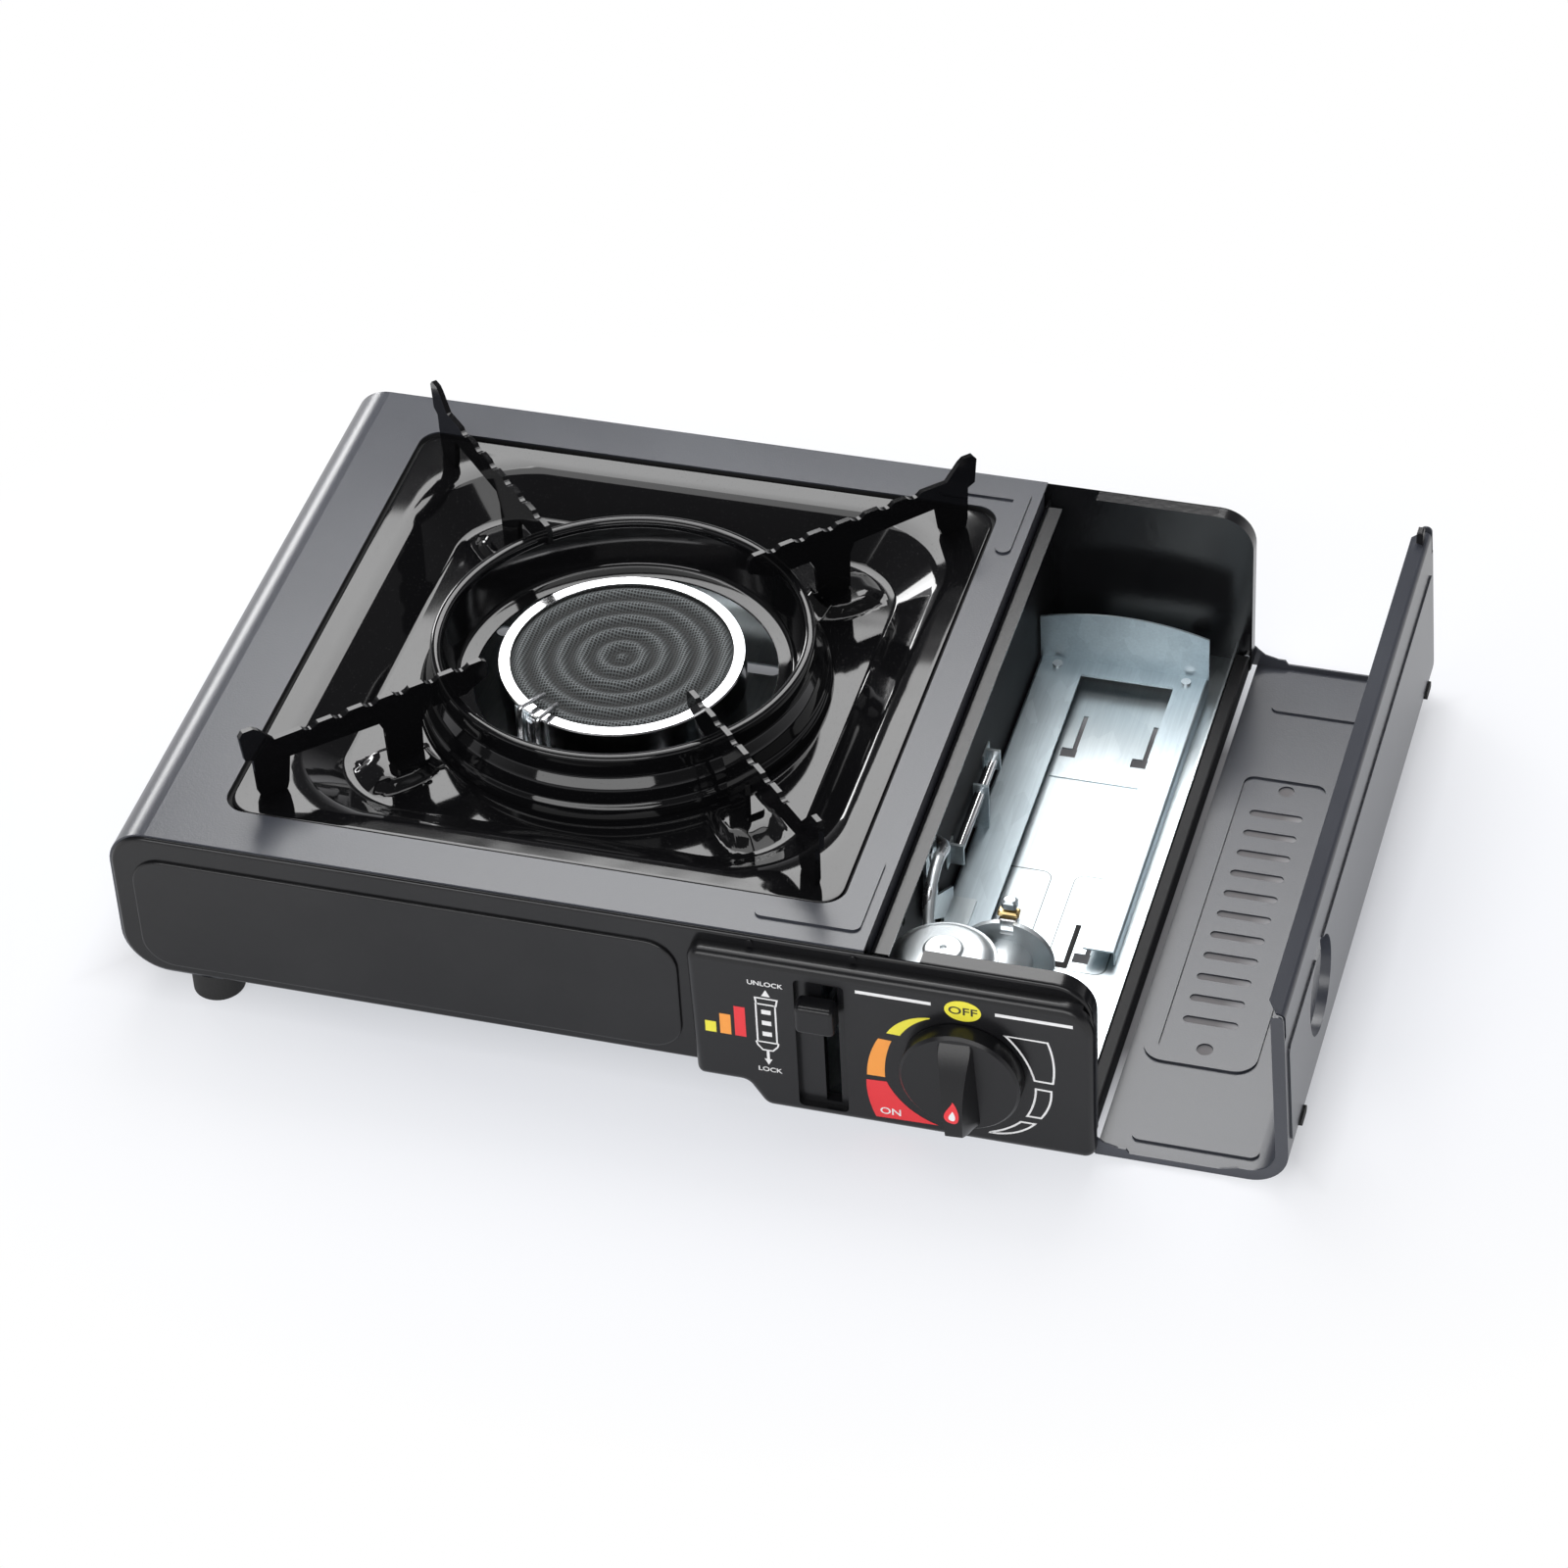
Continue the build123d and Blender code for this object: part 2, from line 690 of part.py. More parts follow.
def make_electrode(label, angle, tip):
    """Ceramic sleeve with a wire that bends in over the burner's edge."""
    with BuildPart() as electrode:
        with BuildSketch(Plane(origin=beside_burner(angle, sleeve_distance, sleeve_bottom))):
            Circle(sleeve_radius)
        extrude(amount=13)
        with BuildLine() as wire:
            FilletPolyline(
                beside_burner(angle, sleeve_distance, 70), beside_burner(angle, sleeve_distance, 80.5),
                beside_burner(angle, tip, 79), radius=3)
        with BuildSketch(Plane(origin=beside_burner(angle, sleeve_distance, 70))):
            Circle(0.9)
        sweep(path=wire.wires()[0])
    save(electrode.part, label)


make_electrode("spark_electrode", electrode_angle - 8, 39)
make_electrode("thermocouple", electrode_angle + 8, 37)


# ---- drip tray: square enamelled pan, open in the middle for the burner ----
tray_sheet = 0.9
tray_rim = seat_z + 0.3
tray_floor = 62.8
collar_top = 87.0
pad_distance = 92.9
pad_length = 23.4
pad_width = 22.0
pad_rise = 4.0
bowl_side = 208.0
floor_side = 166.0
tray_hole = 77.6
lip_base = collar_top - 2.1
ledge_z = 78.0            # step half way up the ring around the burner

with BuildPart() as drip_tray:
    with BuildSketch(above(tray_rim)):
        RectangleRounded(recess_length - 3, recess_width - 3, 8.5)
    extrude(amount=tray_sheet)
    # bowl: outside and inside, each drawn from the rim down to the floor
    inner_floor = tray_floor + tray_sheet
    for depth, inset, mode in ((tray_floor, 0, Mode.ADD), (inner_floor, tray_sheet, Mode.SUBTRACT)):
        with BuildSketch(above(tray_rim + tray_sheet)):
            RectangleRounded(bowl_side - 2 * inset, bowl_side - 2 * inset, 45 - inset)
        with BuildSketch(above(depth)):
            RectangleRounded(floor_side - 2 * inset, floor_side - 2 * inset, 40 - inset)
        loft(mode=mode)
    # pads under the inner legs of the pan supports, hollow below
    for inset, base, mode in ((0, inner_floor, Mode.ADD), (tray_sheet, tray_floor, Mode.SUBTRACT)):
        with BuildSketch(above(base)):
            with PolarLocations(pad_distance, 4, start_angle=45):
                RectangleRounded(pad_length - 2 * inset, pad_width - 2 * inset, 8 - inset)
        extrude(amount=pad_rise, mode=mode)
    # hole for the ring around the burner
    with BuildSketch(above(tray_floor - 2)):
        Circle(tray_hole)
    extrude(amount=20, mode=Mode.SUBTRACT)
save(drip_tray.part, "drip_tray")


# ---- ring around the burner: foot on the tray's floor, stepped wall, rolled lip, slotted shelf ----
foot_z = tray_floor + tray_sheet
lip_middle = 68.3
lip_radius = 2.1
lip_inside = lip_radius - tray_sheet
lip_angles = (0, 36, 72, 108, 144, 180)


def lip(radius):
    """Points over the rolled lip, from its outside to its inside."""
    return [
        (lip_middle + radius * cos(radians(angle)), lip_base + radius * sin(radians(angle)))
        for angle in lip_angles]


with BuildPart() as wind_ring:
    outside = [
        (80.4, foot_z), (80.4, foot_z + tray_sheet), (79.5, foot_z + tray_sheet), (78.7, 69.6),
        (77.2, 70.6), (76.5, ledge_z - 1), (75.4, ledge_z), (70.9, ledge_z)]
    shelf = [(62.2, 69.4), (56, 68.4), (56, 67.5), (63.1, 68.7)]
    inside = [
        (70, ledge_z - tray_sheet), (75, ledge_z - tray_sheet), (75.6, ledge_z - 1.4),
        (76.3, 70), (77.8, 69), (78.6, foot_z)]
    section = radial(outside + lip(lip_radius) + shelf + lip(lip_inside)[::-1] + inside)
    revolve(section, axis=burner_axis)
    # air slots in the shelf
    with BuildSketch(above(66)):
        with PolarLocations(0, 6, start_angle=15):
            SlotArc(Edge.make_circle(59.4, start_angle=0, end_angle=36), 2.2)
    extrude(amount=5, mode=Mode.SUBTRACT)
save(wind_ring.part, "wind_ring")


# ---- four pan supports: pressed plates on the diagonals ----
support_sheet = 2.0
pad_top = tray_floor + tray_sheet + pad_rise
rim_top = tray_rim + tray_sheet
notch_pitch = 12.0


def make_pan_support(label, angle):
    """Notched arm with a leg on the tray's rim, a leg with a foot on its pad and a seat on the collar."""
    turn = radians(angle)
    blade = Plane(origin=(recess_x, 0, 0), x_dir=(cos(turn), sin(turn), 0), z_dir=(sin(turn), -cos(turn), 0))
    with BuildPart() as support:
        with BuildSketch(blade):
            with BuildLine():
                Polyline(
                    (54, pan_rest - 1.5), (56, pan_rest), (138, pan_rest), (143.5, support_tip - 1.5),
                    (145.5, support_tip), (149.5, support_tip), (support_reach, support_tip - 2),
                    (support_reach - 1, 95), (147, 93.5), (146.5, rim_top + 3), (145.5, rim_top),
                    (135.5, rim_top), (134.5, rim_top + 3), (133, 89.5), (98, 88.5), (96, 84),
                    (95.5, pad_top + 1), (82, pad_top + 1), (81.5, 82), (79, collar_top), (63, collar_top),
                    (60, 89), (54, 92), close=True)
            make_face()
            # shallow notches in the pan rest
            with Locations(*[(64 + notch_pitch * notch, pan_rest + 2.4) for notch in range(6)]):
                Circle(4, mode=Mode.SUBTRACT)
        extrude(amount=support_sheet / 2, both=True)
        with BuildSketch(turned(angle, pad_top)):
            with Locations((88.75, 3)):
                RectangleRounded(13.5, 8, 1.5)
        extrude(amount=support_sheet)
    save(support.part, label)


for number in range(4):
    make_pan_support(f"pan_support_{number + 1}", 45 + 90 * number)


# ---- cartridge carriage: rails, rear stop, link to the lever ----
rail_z = 9.2
rail_left = 100.2
rail_right = 166.0
gap_left = 118.0
gap_right = 154.0
gap_back = 104.0
carriage_front = -45.0
carriage_back = 112.0
leg_bottom = floor_z + sheet + 0.3
stop_height = 32.0
rod_x = 102.3
rod_z = 27.0
rod_radius = 2.0
rod_ends = (-24.0, 29.0)
ear_y = 10.0
ear_top = rod_z + 3.3
link_x = 101.0
link_sheet = 1.2
link_foot_y = -40.0
crank_pin_radius = 1.8
crank_y = pivot_y + crank_length * sin(radians(crank_tilt))
crank_z = pivot_z + crank_length * cos(radians(crank_tilt))

with BuildPart() as carriage:
    # flat pan with its two legs, then the opening that leaves a broad and a narrow rail
    section = folded(
        Plane.XZ.offset(-carriage_front),
        [(rail_left, leg_bottom), (rail_left, rail_z + sheet), (rail_right, rail_z + sheet),
         (rail_right, leg_bottom)],
        [1.2, 1.2], sheet, side=Side.RIGHT)
    extrude(section, amount=-(carriage_back - carriage_front))
    with BuildSketch(Plane.XY.offset(rail_z - 1)):
        with Locations(((gap_left + gap_right) / 2, (carriage_front + gap_back) / 2 - 1)):
            Rectangle(gap_right - gap_left, gap_back - carriage_front + 2)
    extrude(amount=4, mode=Mode.SUBTRACT)
    # rear stop with an arched top edge
    with BuildSketch(Plane.XZ.offset(-carriage_back)):
        with BuildLine():
            Polyline((rail_left, stop_height - 3), (rail_left, rail_z), (rail_right, rail_z),
                     (rail_right, stop_height - 3))
            ThreePointArc(
                (rail_right, stop_height - 3), ((rail_left + rail_right) / 2, stop_height + 2),
                (rail_left, stop_height - 3))
        make_face()
    extrude(amount=-sheet)
    # ear that slides on the guide rod
    with BuildSketch(Plane.XZ.offset(-ear_y)):
        with Locations((rod_x + 0.2, (ear_top + rail_z) / 2)):
            Rectangle(5.8, ear_top - rail_z)
        with Locations((rod_x, rod_z)):
            Circle(rod_radius + pin_clearance, mode=Mode.SUBTRACT)
    extrude(amount=-link_sheet)
save(carriage.part, "carriage")

with BuildPart() as carriage_rivets:
    with BuildSketch(Plane.XY.offset(rail_z + sheet)):
        with Locations((107.8, 107.9), (158, 107.9)):
            Circle(1.9)
    extrude(amount=0.9)
save(carriage_rivets.part, "carriage_rivets")

# link plate: foot on the broad rail, upright with the slot that the crank pin works in
with BuildPart() as carriage_link:
    with BuildSketch(Plane.YZ.offset(link_x)):
        with BuildLine():
            Polyline(
                (link_foot_y + 10, rail_z + sheet), (link_foot_y + 10, 16), (crank_y + 7, 30),
                (crank_y + 7, crank_z + 7), (crank_y - 7, crank_z + 7), (crank_y - 7, 30),
                (link_foot_y - 4, 13), (link_foot_y - 4, rail_z + sheet), close=True)
        make_face()
        with Locations((crank_y, crank_z + 0.2)):
            SlotOverall(7, 4.4, rotation=90, mode=Mode.SUBTRACT)
    extrude(amount=link_sheet)
    with BuildSketch(Plane.XY.offset(rail_z + sheet)):
        with Locations((link_x + 5, link_foot_y + 3)):
            Rectangle(10, 14)
    extrude(amount=link_sheet)
save(carriage_link.part, "carriage_link")

with BuildPart() as guide_rod:
    with BuildSketch(Plane.XZ.offset(-rod_ends[0])):
        with Locations((rod_x, rod_z)):
            Circle(rod_radius)
    extrude(amount=-(rod_ends[1] - rod_ends[0]))
save(guide_rod.part, "guide_rod")

with BuildPart() as rod_brackets:
    for start in (rod_ends[0] - link_sheet, rod_ends[1]):
        with BuildSketch(Plane.XZ.offset(-start)):
            with Locations((web_x + 2.9, rod_z)):
                Rectangle(5.8, 9)
        extrude(amount=-link_sheet)
        with BuildSketch(Plane.YZ.offset(web_x)):
            with Locations((start + link_sheet / 2, rod_z)):
                Rectangle(9, 9)
        extrude(amount=0.6)
save(rod_brackets.part, "rod_brackets")


# ---- lock lever: arm on a stud, crank pin, finger cap ----
arm_sheet = 1.6
arm_left = lever_x - arm_sheet / 2
arm_rise = radians(crank_tilt)
cap_reach = 83.5          # level distance from the pivot to the middle of the cap
cap_z = pivot_z + cap_reach * tan(arm_rise)
cap_back = panel_front + 0.5
arm_tip = 86.0


def arm_point(along, across):
    """Spot on the lever arm, given along and across its length."""
    return (
        pivot_y - along * cos(arm_rise) + across * sin(arm_rise),
        pivot_z + along * sin(arm_rise) + across * cos(arm_rise))


with BuildPart() as lever_arm:
    with BuildSketch(Plane.YZ.offset(arm_left)):
        with BuildLine():
            Polyline(
                arm_point(0, -7), arm_point(60, -4.5), arm_point(arm_tip, -3), arm_point(arm_tip, 3),
                arm_point(60, 4.5), arm_point(12, 7), (crank_y - 4, crank_z), (crank_y + 4, crank_z),
                (pivot_y + 7, pivot_z), close=True)
        make_face()
        with Locations((crank_y, crank_z)):
            Circle(4)
        with Locations((pivot_y, pivot_z)):
            Circle(7)
    extrude(amount=arm_sheet)
    with BuildSketch(Plane.YZ.offset(arm_left)):
        with Locations((pivot_y, pivot_z)):
            Circle(5.5)
    extrude(amount=split_x - 0.3 - arm_left)
    with BuildSketch(Plane.YZ.offset(arm_left)):
        with Locations((pivot_y, pivot_z)):
            Circle(lever_stud_radius + pin_clearance)
    extrude(amount=20, mode=Mode.SUBTRACT)
save(lever_arm.part, "lever_arm")

with BuildPart() as crank_pin:
    with BuildSketch(Plane.YZ.offset(arm_left + arm_sheet)):
        with Locations((crank_y, crank_z)):
            Circle(crank_pin_radius)
    extrude(amount=link_x + link_sheet + 0.5 - arm_left - arm_sheet)
save(crank_pin.part, "crank_pin")

with BuildPart() as lever_cap:
    with BuildSketch(Plane.XZ.offset(cap_back)):
        with Locations((channel_x, cap_z)):
            RectangleRounded(14, 12, 2)
    extrude(amount=7)
    fillet(lever_cap.edges().group_by(Axis.Y)[0], 1.6)
    # pocket for the arm's tip
    with BuildSketch(Plane.XZ.offset(cap_back)):
        with Locations((lever_x, cap_z)):
            Rectangle(arm_sheet, 8.6)
    extrude(amount=5, mode=Mode.SUBTRACT)
save(lever_cap.part, "lever_cap")

with BuildPart() as lever_stud:
    with BuildSketch(Plane.YZ.offset(arm_left - 0.3)):
        with Locations((pivot_y, pivot_z)):
            Circle(lever_stud_radius)
    extrude(amount=web_x - arm_left + 0.3)
    with BuildSketch(Plane.YZ.offset(arm_left - 0.3)):
        with Locations((pivot_y, pivot_z)):
            Circle(5)
    extrude(amount=-1.2)
save(lever_stud.part, "lever_stud")


# ---- lid of the cartridge compartment, open and flat on the table ----
lid_sheet = 0.8
lid_start = half_length
lean_x = 245.6
step_z = 68.0
fold_z = 77.6              # the upright part folds inwards here
edge_x = 238.6
lid_top = 79.2
flange_depth = 4.5
low_flange = 2.7           # depth of the end flanges along the flat part
strip_half = 133.4
frame_spot = (205.0, -6.0)
frame_length = 162.0
frame_width = 41.0
bead = 5.0
slot_pitch = 11.4
slot_count = 11
slot_middle = -6.4
window_y = -80.6
window_z = 44.0
window_radius = 18.0
lean_angle = asin((lid_bend_x - lean_x) / step_z)
fold_x = lean_x - (fold_z - step_z) * tan(lean_angle)
catch_y = 127.6


def lid_face(height):
    """Plane on the outside of the lid's upright part, its x along the stove's depth."""
    x = lid_bend_x - (height - lid_gap) * (lid_bend_x - lean_x) / (step_z - lid_gap)
    return Plane(origin=(x, 0, height), x_dir=(0, 1, 0), z_dir=(cos(lean_angle), 0, sin(lean_angle)))


with BuildPart() as lid:
    section = folded(
        Plane.XZ.offset(lid_half), [(lid_start, lid_gap), (lid_bend_x, lid_gap), (lean_x, step_z)],
        [lid_bend_radius], lid_sheet)
    extrude(section, amount=-2 * lid_half)
    # free edge: folded inwards so that it closes below the cover's edge, with clipped corners
    section = folded(
        Plane.XZ.offset(strip_half),
        [(lean_x + 0.12, step_z - 2.5), (fold_x, fold_z), (edge_x, lid_top)], [2.2], lid_sheet)
    extrude(section, amount=-2 * strip_half)
    with BuildSketch(Plane.XY.offset(fold_z - 3)):
        for end in (-1, 1):
            with BuildLine():
                Polyline(
                    (edge_x - 1, end * (strip_half - 7)), (edge_x - 1, end * (strip_half + 1)),
                    (edge_x + 4, end * (strip_half + 1)), close=True)
            make_face()
    extrude(amount=8, mode=Mode.SUBTRACT)
    # field pressed outwards on the upright part
    face_middle = lid_face(39)
    with BuildSketch(face_middle):
        RectangleRounded(2 * lid_half - 9, 44, 3)
    extrude(amount=0.7)
    with BuildSketch(face_middle.offset(-lid_sheet)):
        RectangleRounded(2 * lid_half - 9 - 2 * sheet, 44 - 2 * sheet, 2.4)
    extrude(amount=0.7, mode=Mode.SUBTRACT)
    # end flanges, with the ears that turn on the hinge pins
    for end in (-1, 1):
        outer = Plane.XZ.offset(-end * lid_half)
        depth = end * lid_sheet
        flange = folded(
            outer, [(lid_start, lid_gap), (lid_bend_x, lid_gap), (lean_x - 0.5, fold_z - 1)],
            [lid_bend_radius], flange_depth)
        extrude(flange, amount=depth)
        with BuildSketch(outer):
            with BuildLine():
                Polyline(
                    (190, lid_gap + 6), (192, lid_gap + low_flange), (224, lid_gap + low_flange),
                    (236, lid_gap + 6), close=True)
            make_face()
        extrude(amount=depth, mode=Mode.SUBTRACT)
        with BuildSketch(outer):
            with BuildLine():
                Polyline(
                    (hinge_x, 0.8), (lid_start + 8, lid_gap), (lid_start + 8, lid_gap + flange_depth),
                    (lid_start + 3, 6), (hinge_x + 2, 9.75), (hinge_x, hinge_z), close=True)
            make_face()
            with Locations((lean_x - 0.5 - flange_depth / 2, fold_z - 1)):
                Circle(flange_depth / 2)
            with Locations((hinge_x, hinge_z)):
                Circle(4.7)
        extrude(amount=depth)
        with BuildSketch(outer):
            with Locations((hinge_x, hinge_z)):
                Circle(pin_radius + pin_clearance)
        extrude(amount=depth, mode=Mode.SUBTRACT)
    # beaded frame around the air slots of the flat part, and a rib across each end; hollow below
    for inset, base, mode in ((0, lid_gap + lid_sheet, Mode.ADD), (lid_sheet, lid_gap, Mode.SUBTRACT)):
        inner = bead - inset
        with BuildSketch(Plane.XY.offset(base)):
            with Locations(frame_spot):
                RectangleRounded(frame_width - 2 * inset, frame_length - 2 * inset, 8 - inset)
                RectangleRounded(frame_width - 2 * inner, frame_length - 2 * inner, 4, mode=Mode.SUBTRACT)
            for rib_y in (-124.5, 112.0):
                with Locations((213, rib_y)):
                    SlotOverall(45 - 2 * inset, 6 - 2 * inset)
        extrude(amount=0.9, mode=mode)
    with BuildSketch(Plane.XY.offset(lid_gap)):
        with Locations((frame_spot[0], slot_middle)):
            with GridLocations(1, slot_pitch, 1, slot_count):
                SlotOverall(20, 3.6)
        with Locations((206, 65), (206, -77.4)):
            Circle(3)
    extrude(amount=3, mode=Mode.SUBTRACT)
    # round window with a drawn collar
    face_window = lid_face(window_z)
    with BuildSketch(face_window):
        with Locations((window_y, 0)):
            Circle(window_radius + 1.2)
    extrude(amount=-3)
    with BuildSketch(face_window):
        with Locations((window_y, 0)):
            Circle(window_radius)
    extrude(amount=4, both=True, mode=Mode.SUBTRACT)
save(lid.part, "lid")

with BuildPart() as lid_buffers:
    with BuildSketch(lid_face(15.1)):
        with Locations((-116, 0), (118, 0)):
            SlotOverall(9, 3.4)
    extrude(amount=1.5)
save(lid_buffers.part, "lid_buffers")

catch_left = 240.9
catch_right = 243.3
edge_slope = (lid_top - fold_z) / (fold_x - edge_x)
with BuildPart() as lid_catch:
    with BuildSketch(Plane.XZ.offset(-catch_y + 2)):
        with BuildLine():
            Polyline(
                (catch_right, fold_z + (fold_x - catch_right) * edge_slope), (catch_right, 83.6),
                (catch_left, 83.6), (catch_left, fold_z + (fold_x - catch_left) * edge_slope), close=True)
        make_face()
    extrude(amount=-4)
    fillet(lid_catch.edges().group_by(Axis.Z)[-1], 0.6)
save(lid_catch.part, "lid_catch")

# hinge pins: staked inside the end panels, headed outside the lid's ear at the back
with BuildPart() as lid_hinge_pins:
    for end, overhang, head in ((-1, 2.0, 0), (1, 1.5, 0.9)):
        inside = Plane.XZ.offset(-end * (half_depth - sheet))
        with BuildSketch(inside):
            with Locations((hinge_x, hinge_z)):
                Circle(pin_radius)
        extrude(amount=-end * (sheet + overhang))
        with BuildSketch(inside):
            with Locations((hinge_x, hinge_z)):
                Circle(1.75)
        extrude(amount=end * 1.6)
        if head:
            with BuildSketch(Plane.XZ.offset(-end * (half_depth + overhang))):
                with Locations((hinge_x, hinge_z)):
                    Circle(2.6)
            extrude(amount=-end * head)
save(lid_hinge_pins.part, "lid_hinge_pins")


# ---- feet ----
def make_feet(label, spots, radius, height, stud_top):
    """Rubber feet pushed into the sheet, each with a stud and a retaining head."""
    with BuildPart() as feet:
        with BuildSketch(Plane.XY):
            with Locations(*spots):
                Circle(radius)
        extrude(amount=height)
        chamfer(feet.edges().group_by(Axis.Z)[0], 0.8)
        with BuildSketch(Plane.XY.offset(height)):
            with Locations(*spots):
                Circle(stud_radius)
        extrude(amount=stud_top - height)
        with BuildSketch(Plane.XY.offset(stud_top)):
            with Locations(*spots):
                Circle(3.6)
        extrude(amount=1.2)
    save(feet.part, label)


make_feet("tall_feet", foot_spots, 9.5, body_bottom, plate_z + sheet)
make_feet("short_feet", short_foot_spots, 8, floor_z, floor_z + sheet)


# ---- two small screws in the front panel, above the control panel ----
with BuildPart() as panel_screws:
    with BuildSketch(Plane.XZ.offset(half_depth)):
        with Locations((58, 73.6), (95, 73.6)):
            Circle(1.4)
    extrude(amount=0.7)
save(panel_screws.part, "panel_screws")
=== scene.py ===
import json
from math import atan2, cos, pi, radians, sin
import bpy
import numpy as np
from mathutils import Matrix, Vector


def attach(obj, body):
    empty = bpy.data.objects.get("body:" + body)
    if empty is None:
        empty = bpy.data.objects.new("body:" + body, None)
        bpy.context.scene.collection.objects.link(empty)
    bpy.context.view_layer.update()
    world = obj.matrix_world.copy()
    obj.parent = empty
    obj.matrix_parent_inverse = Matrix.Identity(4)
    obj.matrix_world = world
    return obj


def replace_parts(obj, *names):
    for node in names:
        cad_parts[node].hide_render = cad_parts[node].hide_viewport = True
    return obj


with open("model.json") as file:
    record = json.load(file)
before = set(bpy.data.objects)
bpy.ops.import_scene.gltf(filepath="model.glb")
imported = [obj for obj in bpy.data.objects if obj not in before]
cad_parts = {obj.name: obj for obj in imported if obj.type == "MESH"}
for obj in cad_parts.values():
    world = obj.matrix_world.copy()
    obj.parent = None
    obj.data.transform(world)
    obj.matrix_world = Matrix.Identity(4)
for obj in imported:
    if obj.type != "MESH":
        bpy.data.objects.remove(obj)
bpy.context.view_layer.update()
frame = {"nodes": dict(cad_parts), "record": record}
nodes = frame["nodes"]
scene = bpy.context.scene
print("stove loaded:", len(nodes), "nodes")


# A socket that takes part in arithmetic: each sign adds one Math node.
class Wire:
    def __init__(self, finish, socket):
        self.finish = finish
        self.socket = socket

    def join(self, operation, *values):
        return self.finish.add("ShaderNodeMath", {"operation": operation}, dict(enumerate(values)))

    def __add__(self, other):
        return self.join("ADD", self, other)

    def __radd__(self, other):
        return self.join("ADD", other, self)

    def __sub__(self, other):
        return self.join("SUBTRACT", self, other)

    def __rsub__(self, other):
        return self.join("SUBTRACT", other, self)

    def __mul__(self, other):
        return self.join("MULTIPLY", self, other)

    def __rmul__(self, other):
        return self.join("MULTIPLY", other, self)

    def __truediv__(self, other):
        return self.join("DIVIDE", self, other)

    def __pow__(self, other):
        return self.join("POWER", self, other)

    def __mod__(self, other):
        return self.join("FLOORED_MODULO", self, other)

    def __lt__(self, other):
        return self.join("LESS_THAN", self, other)

    def __gt__(self, other):
        return self.join("GREATER_THAN", self, other)

    def __abs__(self):
        return self.join("ABSOLUTE", self)

    def root(self):
        return self.join("SQRT", self)

    def most(self, other):
        return self.join("MAXIMUM", self, other)

    # 0 below low, 1 above high, a straight rise between them
    def rise(self, low, high):
        inputs = {0: self, 1: low, 2: high, 3: 0.0, 4: 1.0}
        return self.finish.add("ShaderNodeMapRange", {"clamp": True}, inputs)


# One material, built node by node.
class Finish:
    def __init__(self, name, tree=None):
        if tree is None:
            self.material = bpy.data.materials.new(name)
            self.material.use_nodes = True
            tree = self.material.node_tree
        self.tree = tree
        self.tree.nodes.clear()
        self.spot = None

    # kind of node, its settings, its input values or wires, and the output wanted
    def add(self, kind, settings=None, inputs=None, output=0):
        node = self.tree.nodes.new(kind)
        for key, value in (settings or {}).items():
            setattr(node, key, value)
        for key, value in (inputs or {}).items():
            if isinstance(value, Wire):
                self.tree.links.new(value.socket, node.inputs[key])
            else:
                node.inputs[key].default_value = value
        return Wire(self, node.outputs[output])

    def place(self):
        if self.spot is None:
            self.spot = self.add("ShaderNodeTexCoord", output="Object")
        return self.spot

    def axes(self, vector=None):
        source = self.add("ShaderNodeSeparateXYZ", inputs={0: vector or self.place()})
        return [Wire(self, source.socket.node.outputs[i]) for i in range(3)]

    # the place, stretched along each axis before a texture reads it
    def stretched(self, x, y, z):
        return self.add("ShaderNodeMapping", inputs={"Vector": self.place(), "Scale": (x, y, z)})

    def noise(self, scale, detail=2.0, rough=0.5, vector=None):
        return self.add("ShaderNodeTexNoise", inputs={
            "Vector": vector or self.place(), "Scale": scale, "Detail": detail, "Roughness": rough})

    def cells(self, scale, output="Color", vector=None):
        inputs = {"Vector": vector or self.place(), "Scale": scale}
        return self.add("ShaderNodeTexVoronoi", inputs=inputs, output=output)

    def mix(self, factor, low, high):
        low = low if isinstance(low, Wire) else (*low, 1.0)
        high = high if isinstance(high, Wire) else (*high, 1.0)
        return self.add("ShaderNodeMix", {"data_type": "RGBA"}, {0: factor, 6: low, 7: high}, output=2)

    def bump(self, height, depth, strength=1.0):
        return self.add("ShaderNodeBump", inputs={"Height": height, "Distance": depth, "Strength": strength})

    def surface(self, colour, rough, normal=None, **others):
        inputs = {"Base Color": colour if isinstance(colour, Wire) else (*colour, 1.0), "Roughness": rough}
        if normal is not None:
            inputs["Normal"] = normal
        inputs.update({key.replace("_", " "): value for key, value in others.items()})
        self.show(self.add("ShaderNodeBsdfPrincipled", inputs=inputs))
        return self.material

    def show(self, shader, kind="ShaderNodeOutputMaterial"):
        self.tree.links.new(shader.socket, self.tree.nodes.new(kind).inputs["Surface"])


burner = {"x": -29.3, "directions": 720}  # its axis, and the points round the tray

coverPaint = {
    "colour": (0.036, 0.039, 0.050), "dusty": (0.046, 0.050, 0.062), "rough": 0.26, "ior": 1.55,
    "cloudScale": 14.0, "cloudRange": (0.35, 0.7), "cloudRough": 0.05,
    "grainScale": 1500.0, "grainDepth": 0.00003,
    "sunk": (0.004, 0.004, 0.005), "sunkRough": 0.8, "sunkHalf": 0.118, "sunkFloor": 0.060, "sunkTop": 0.0764,
}


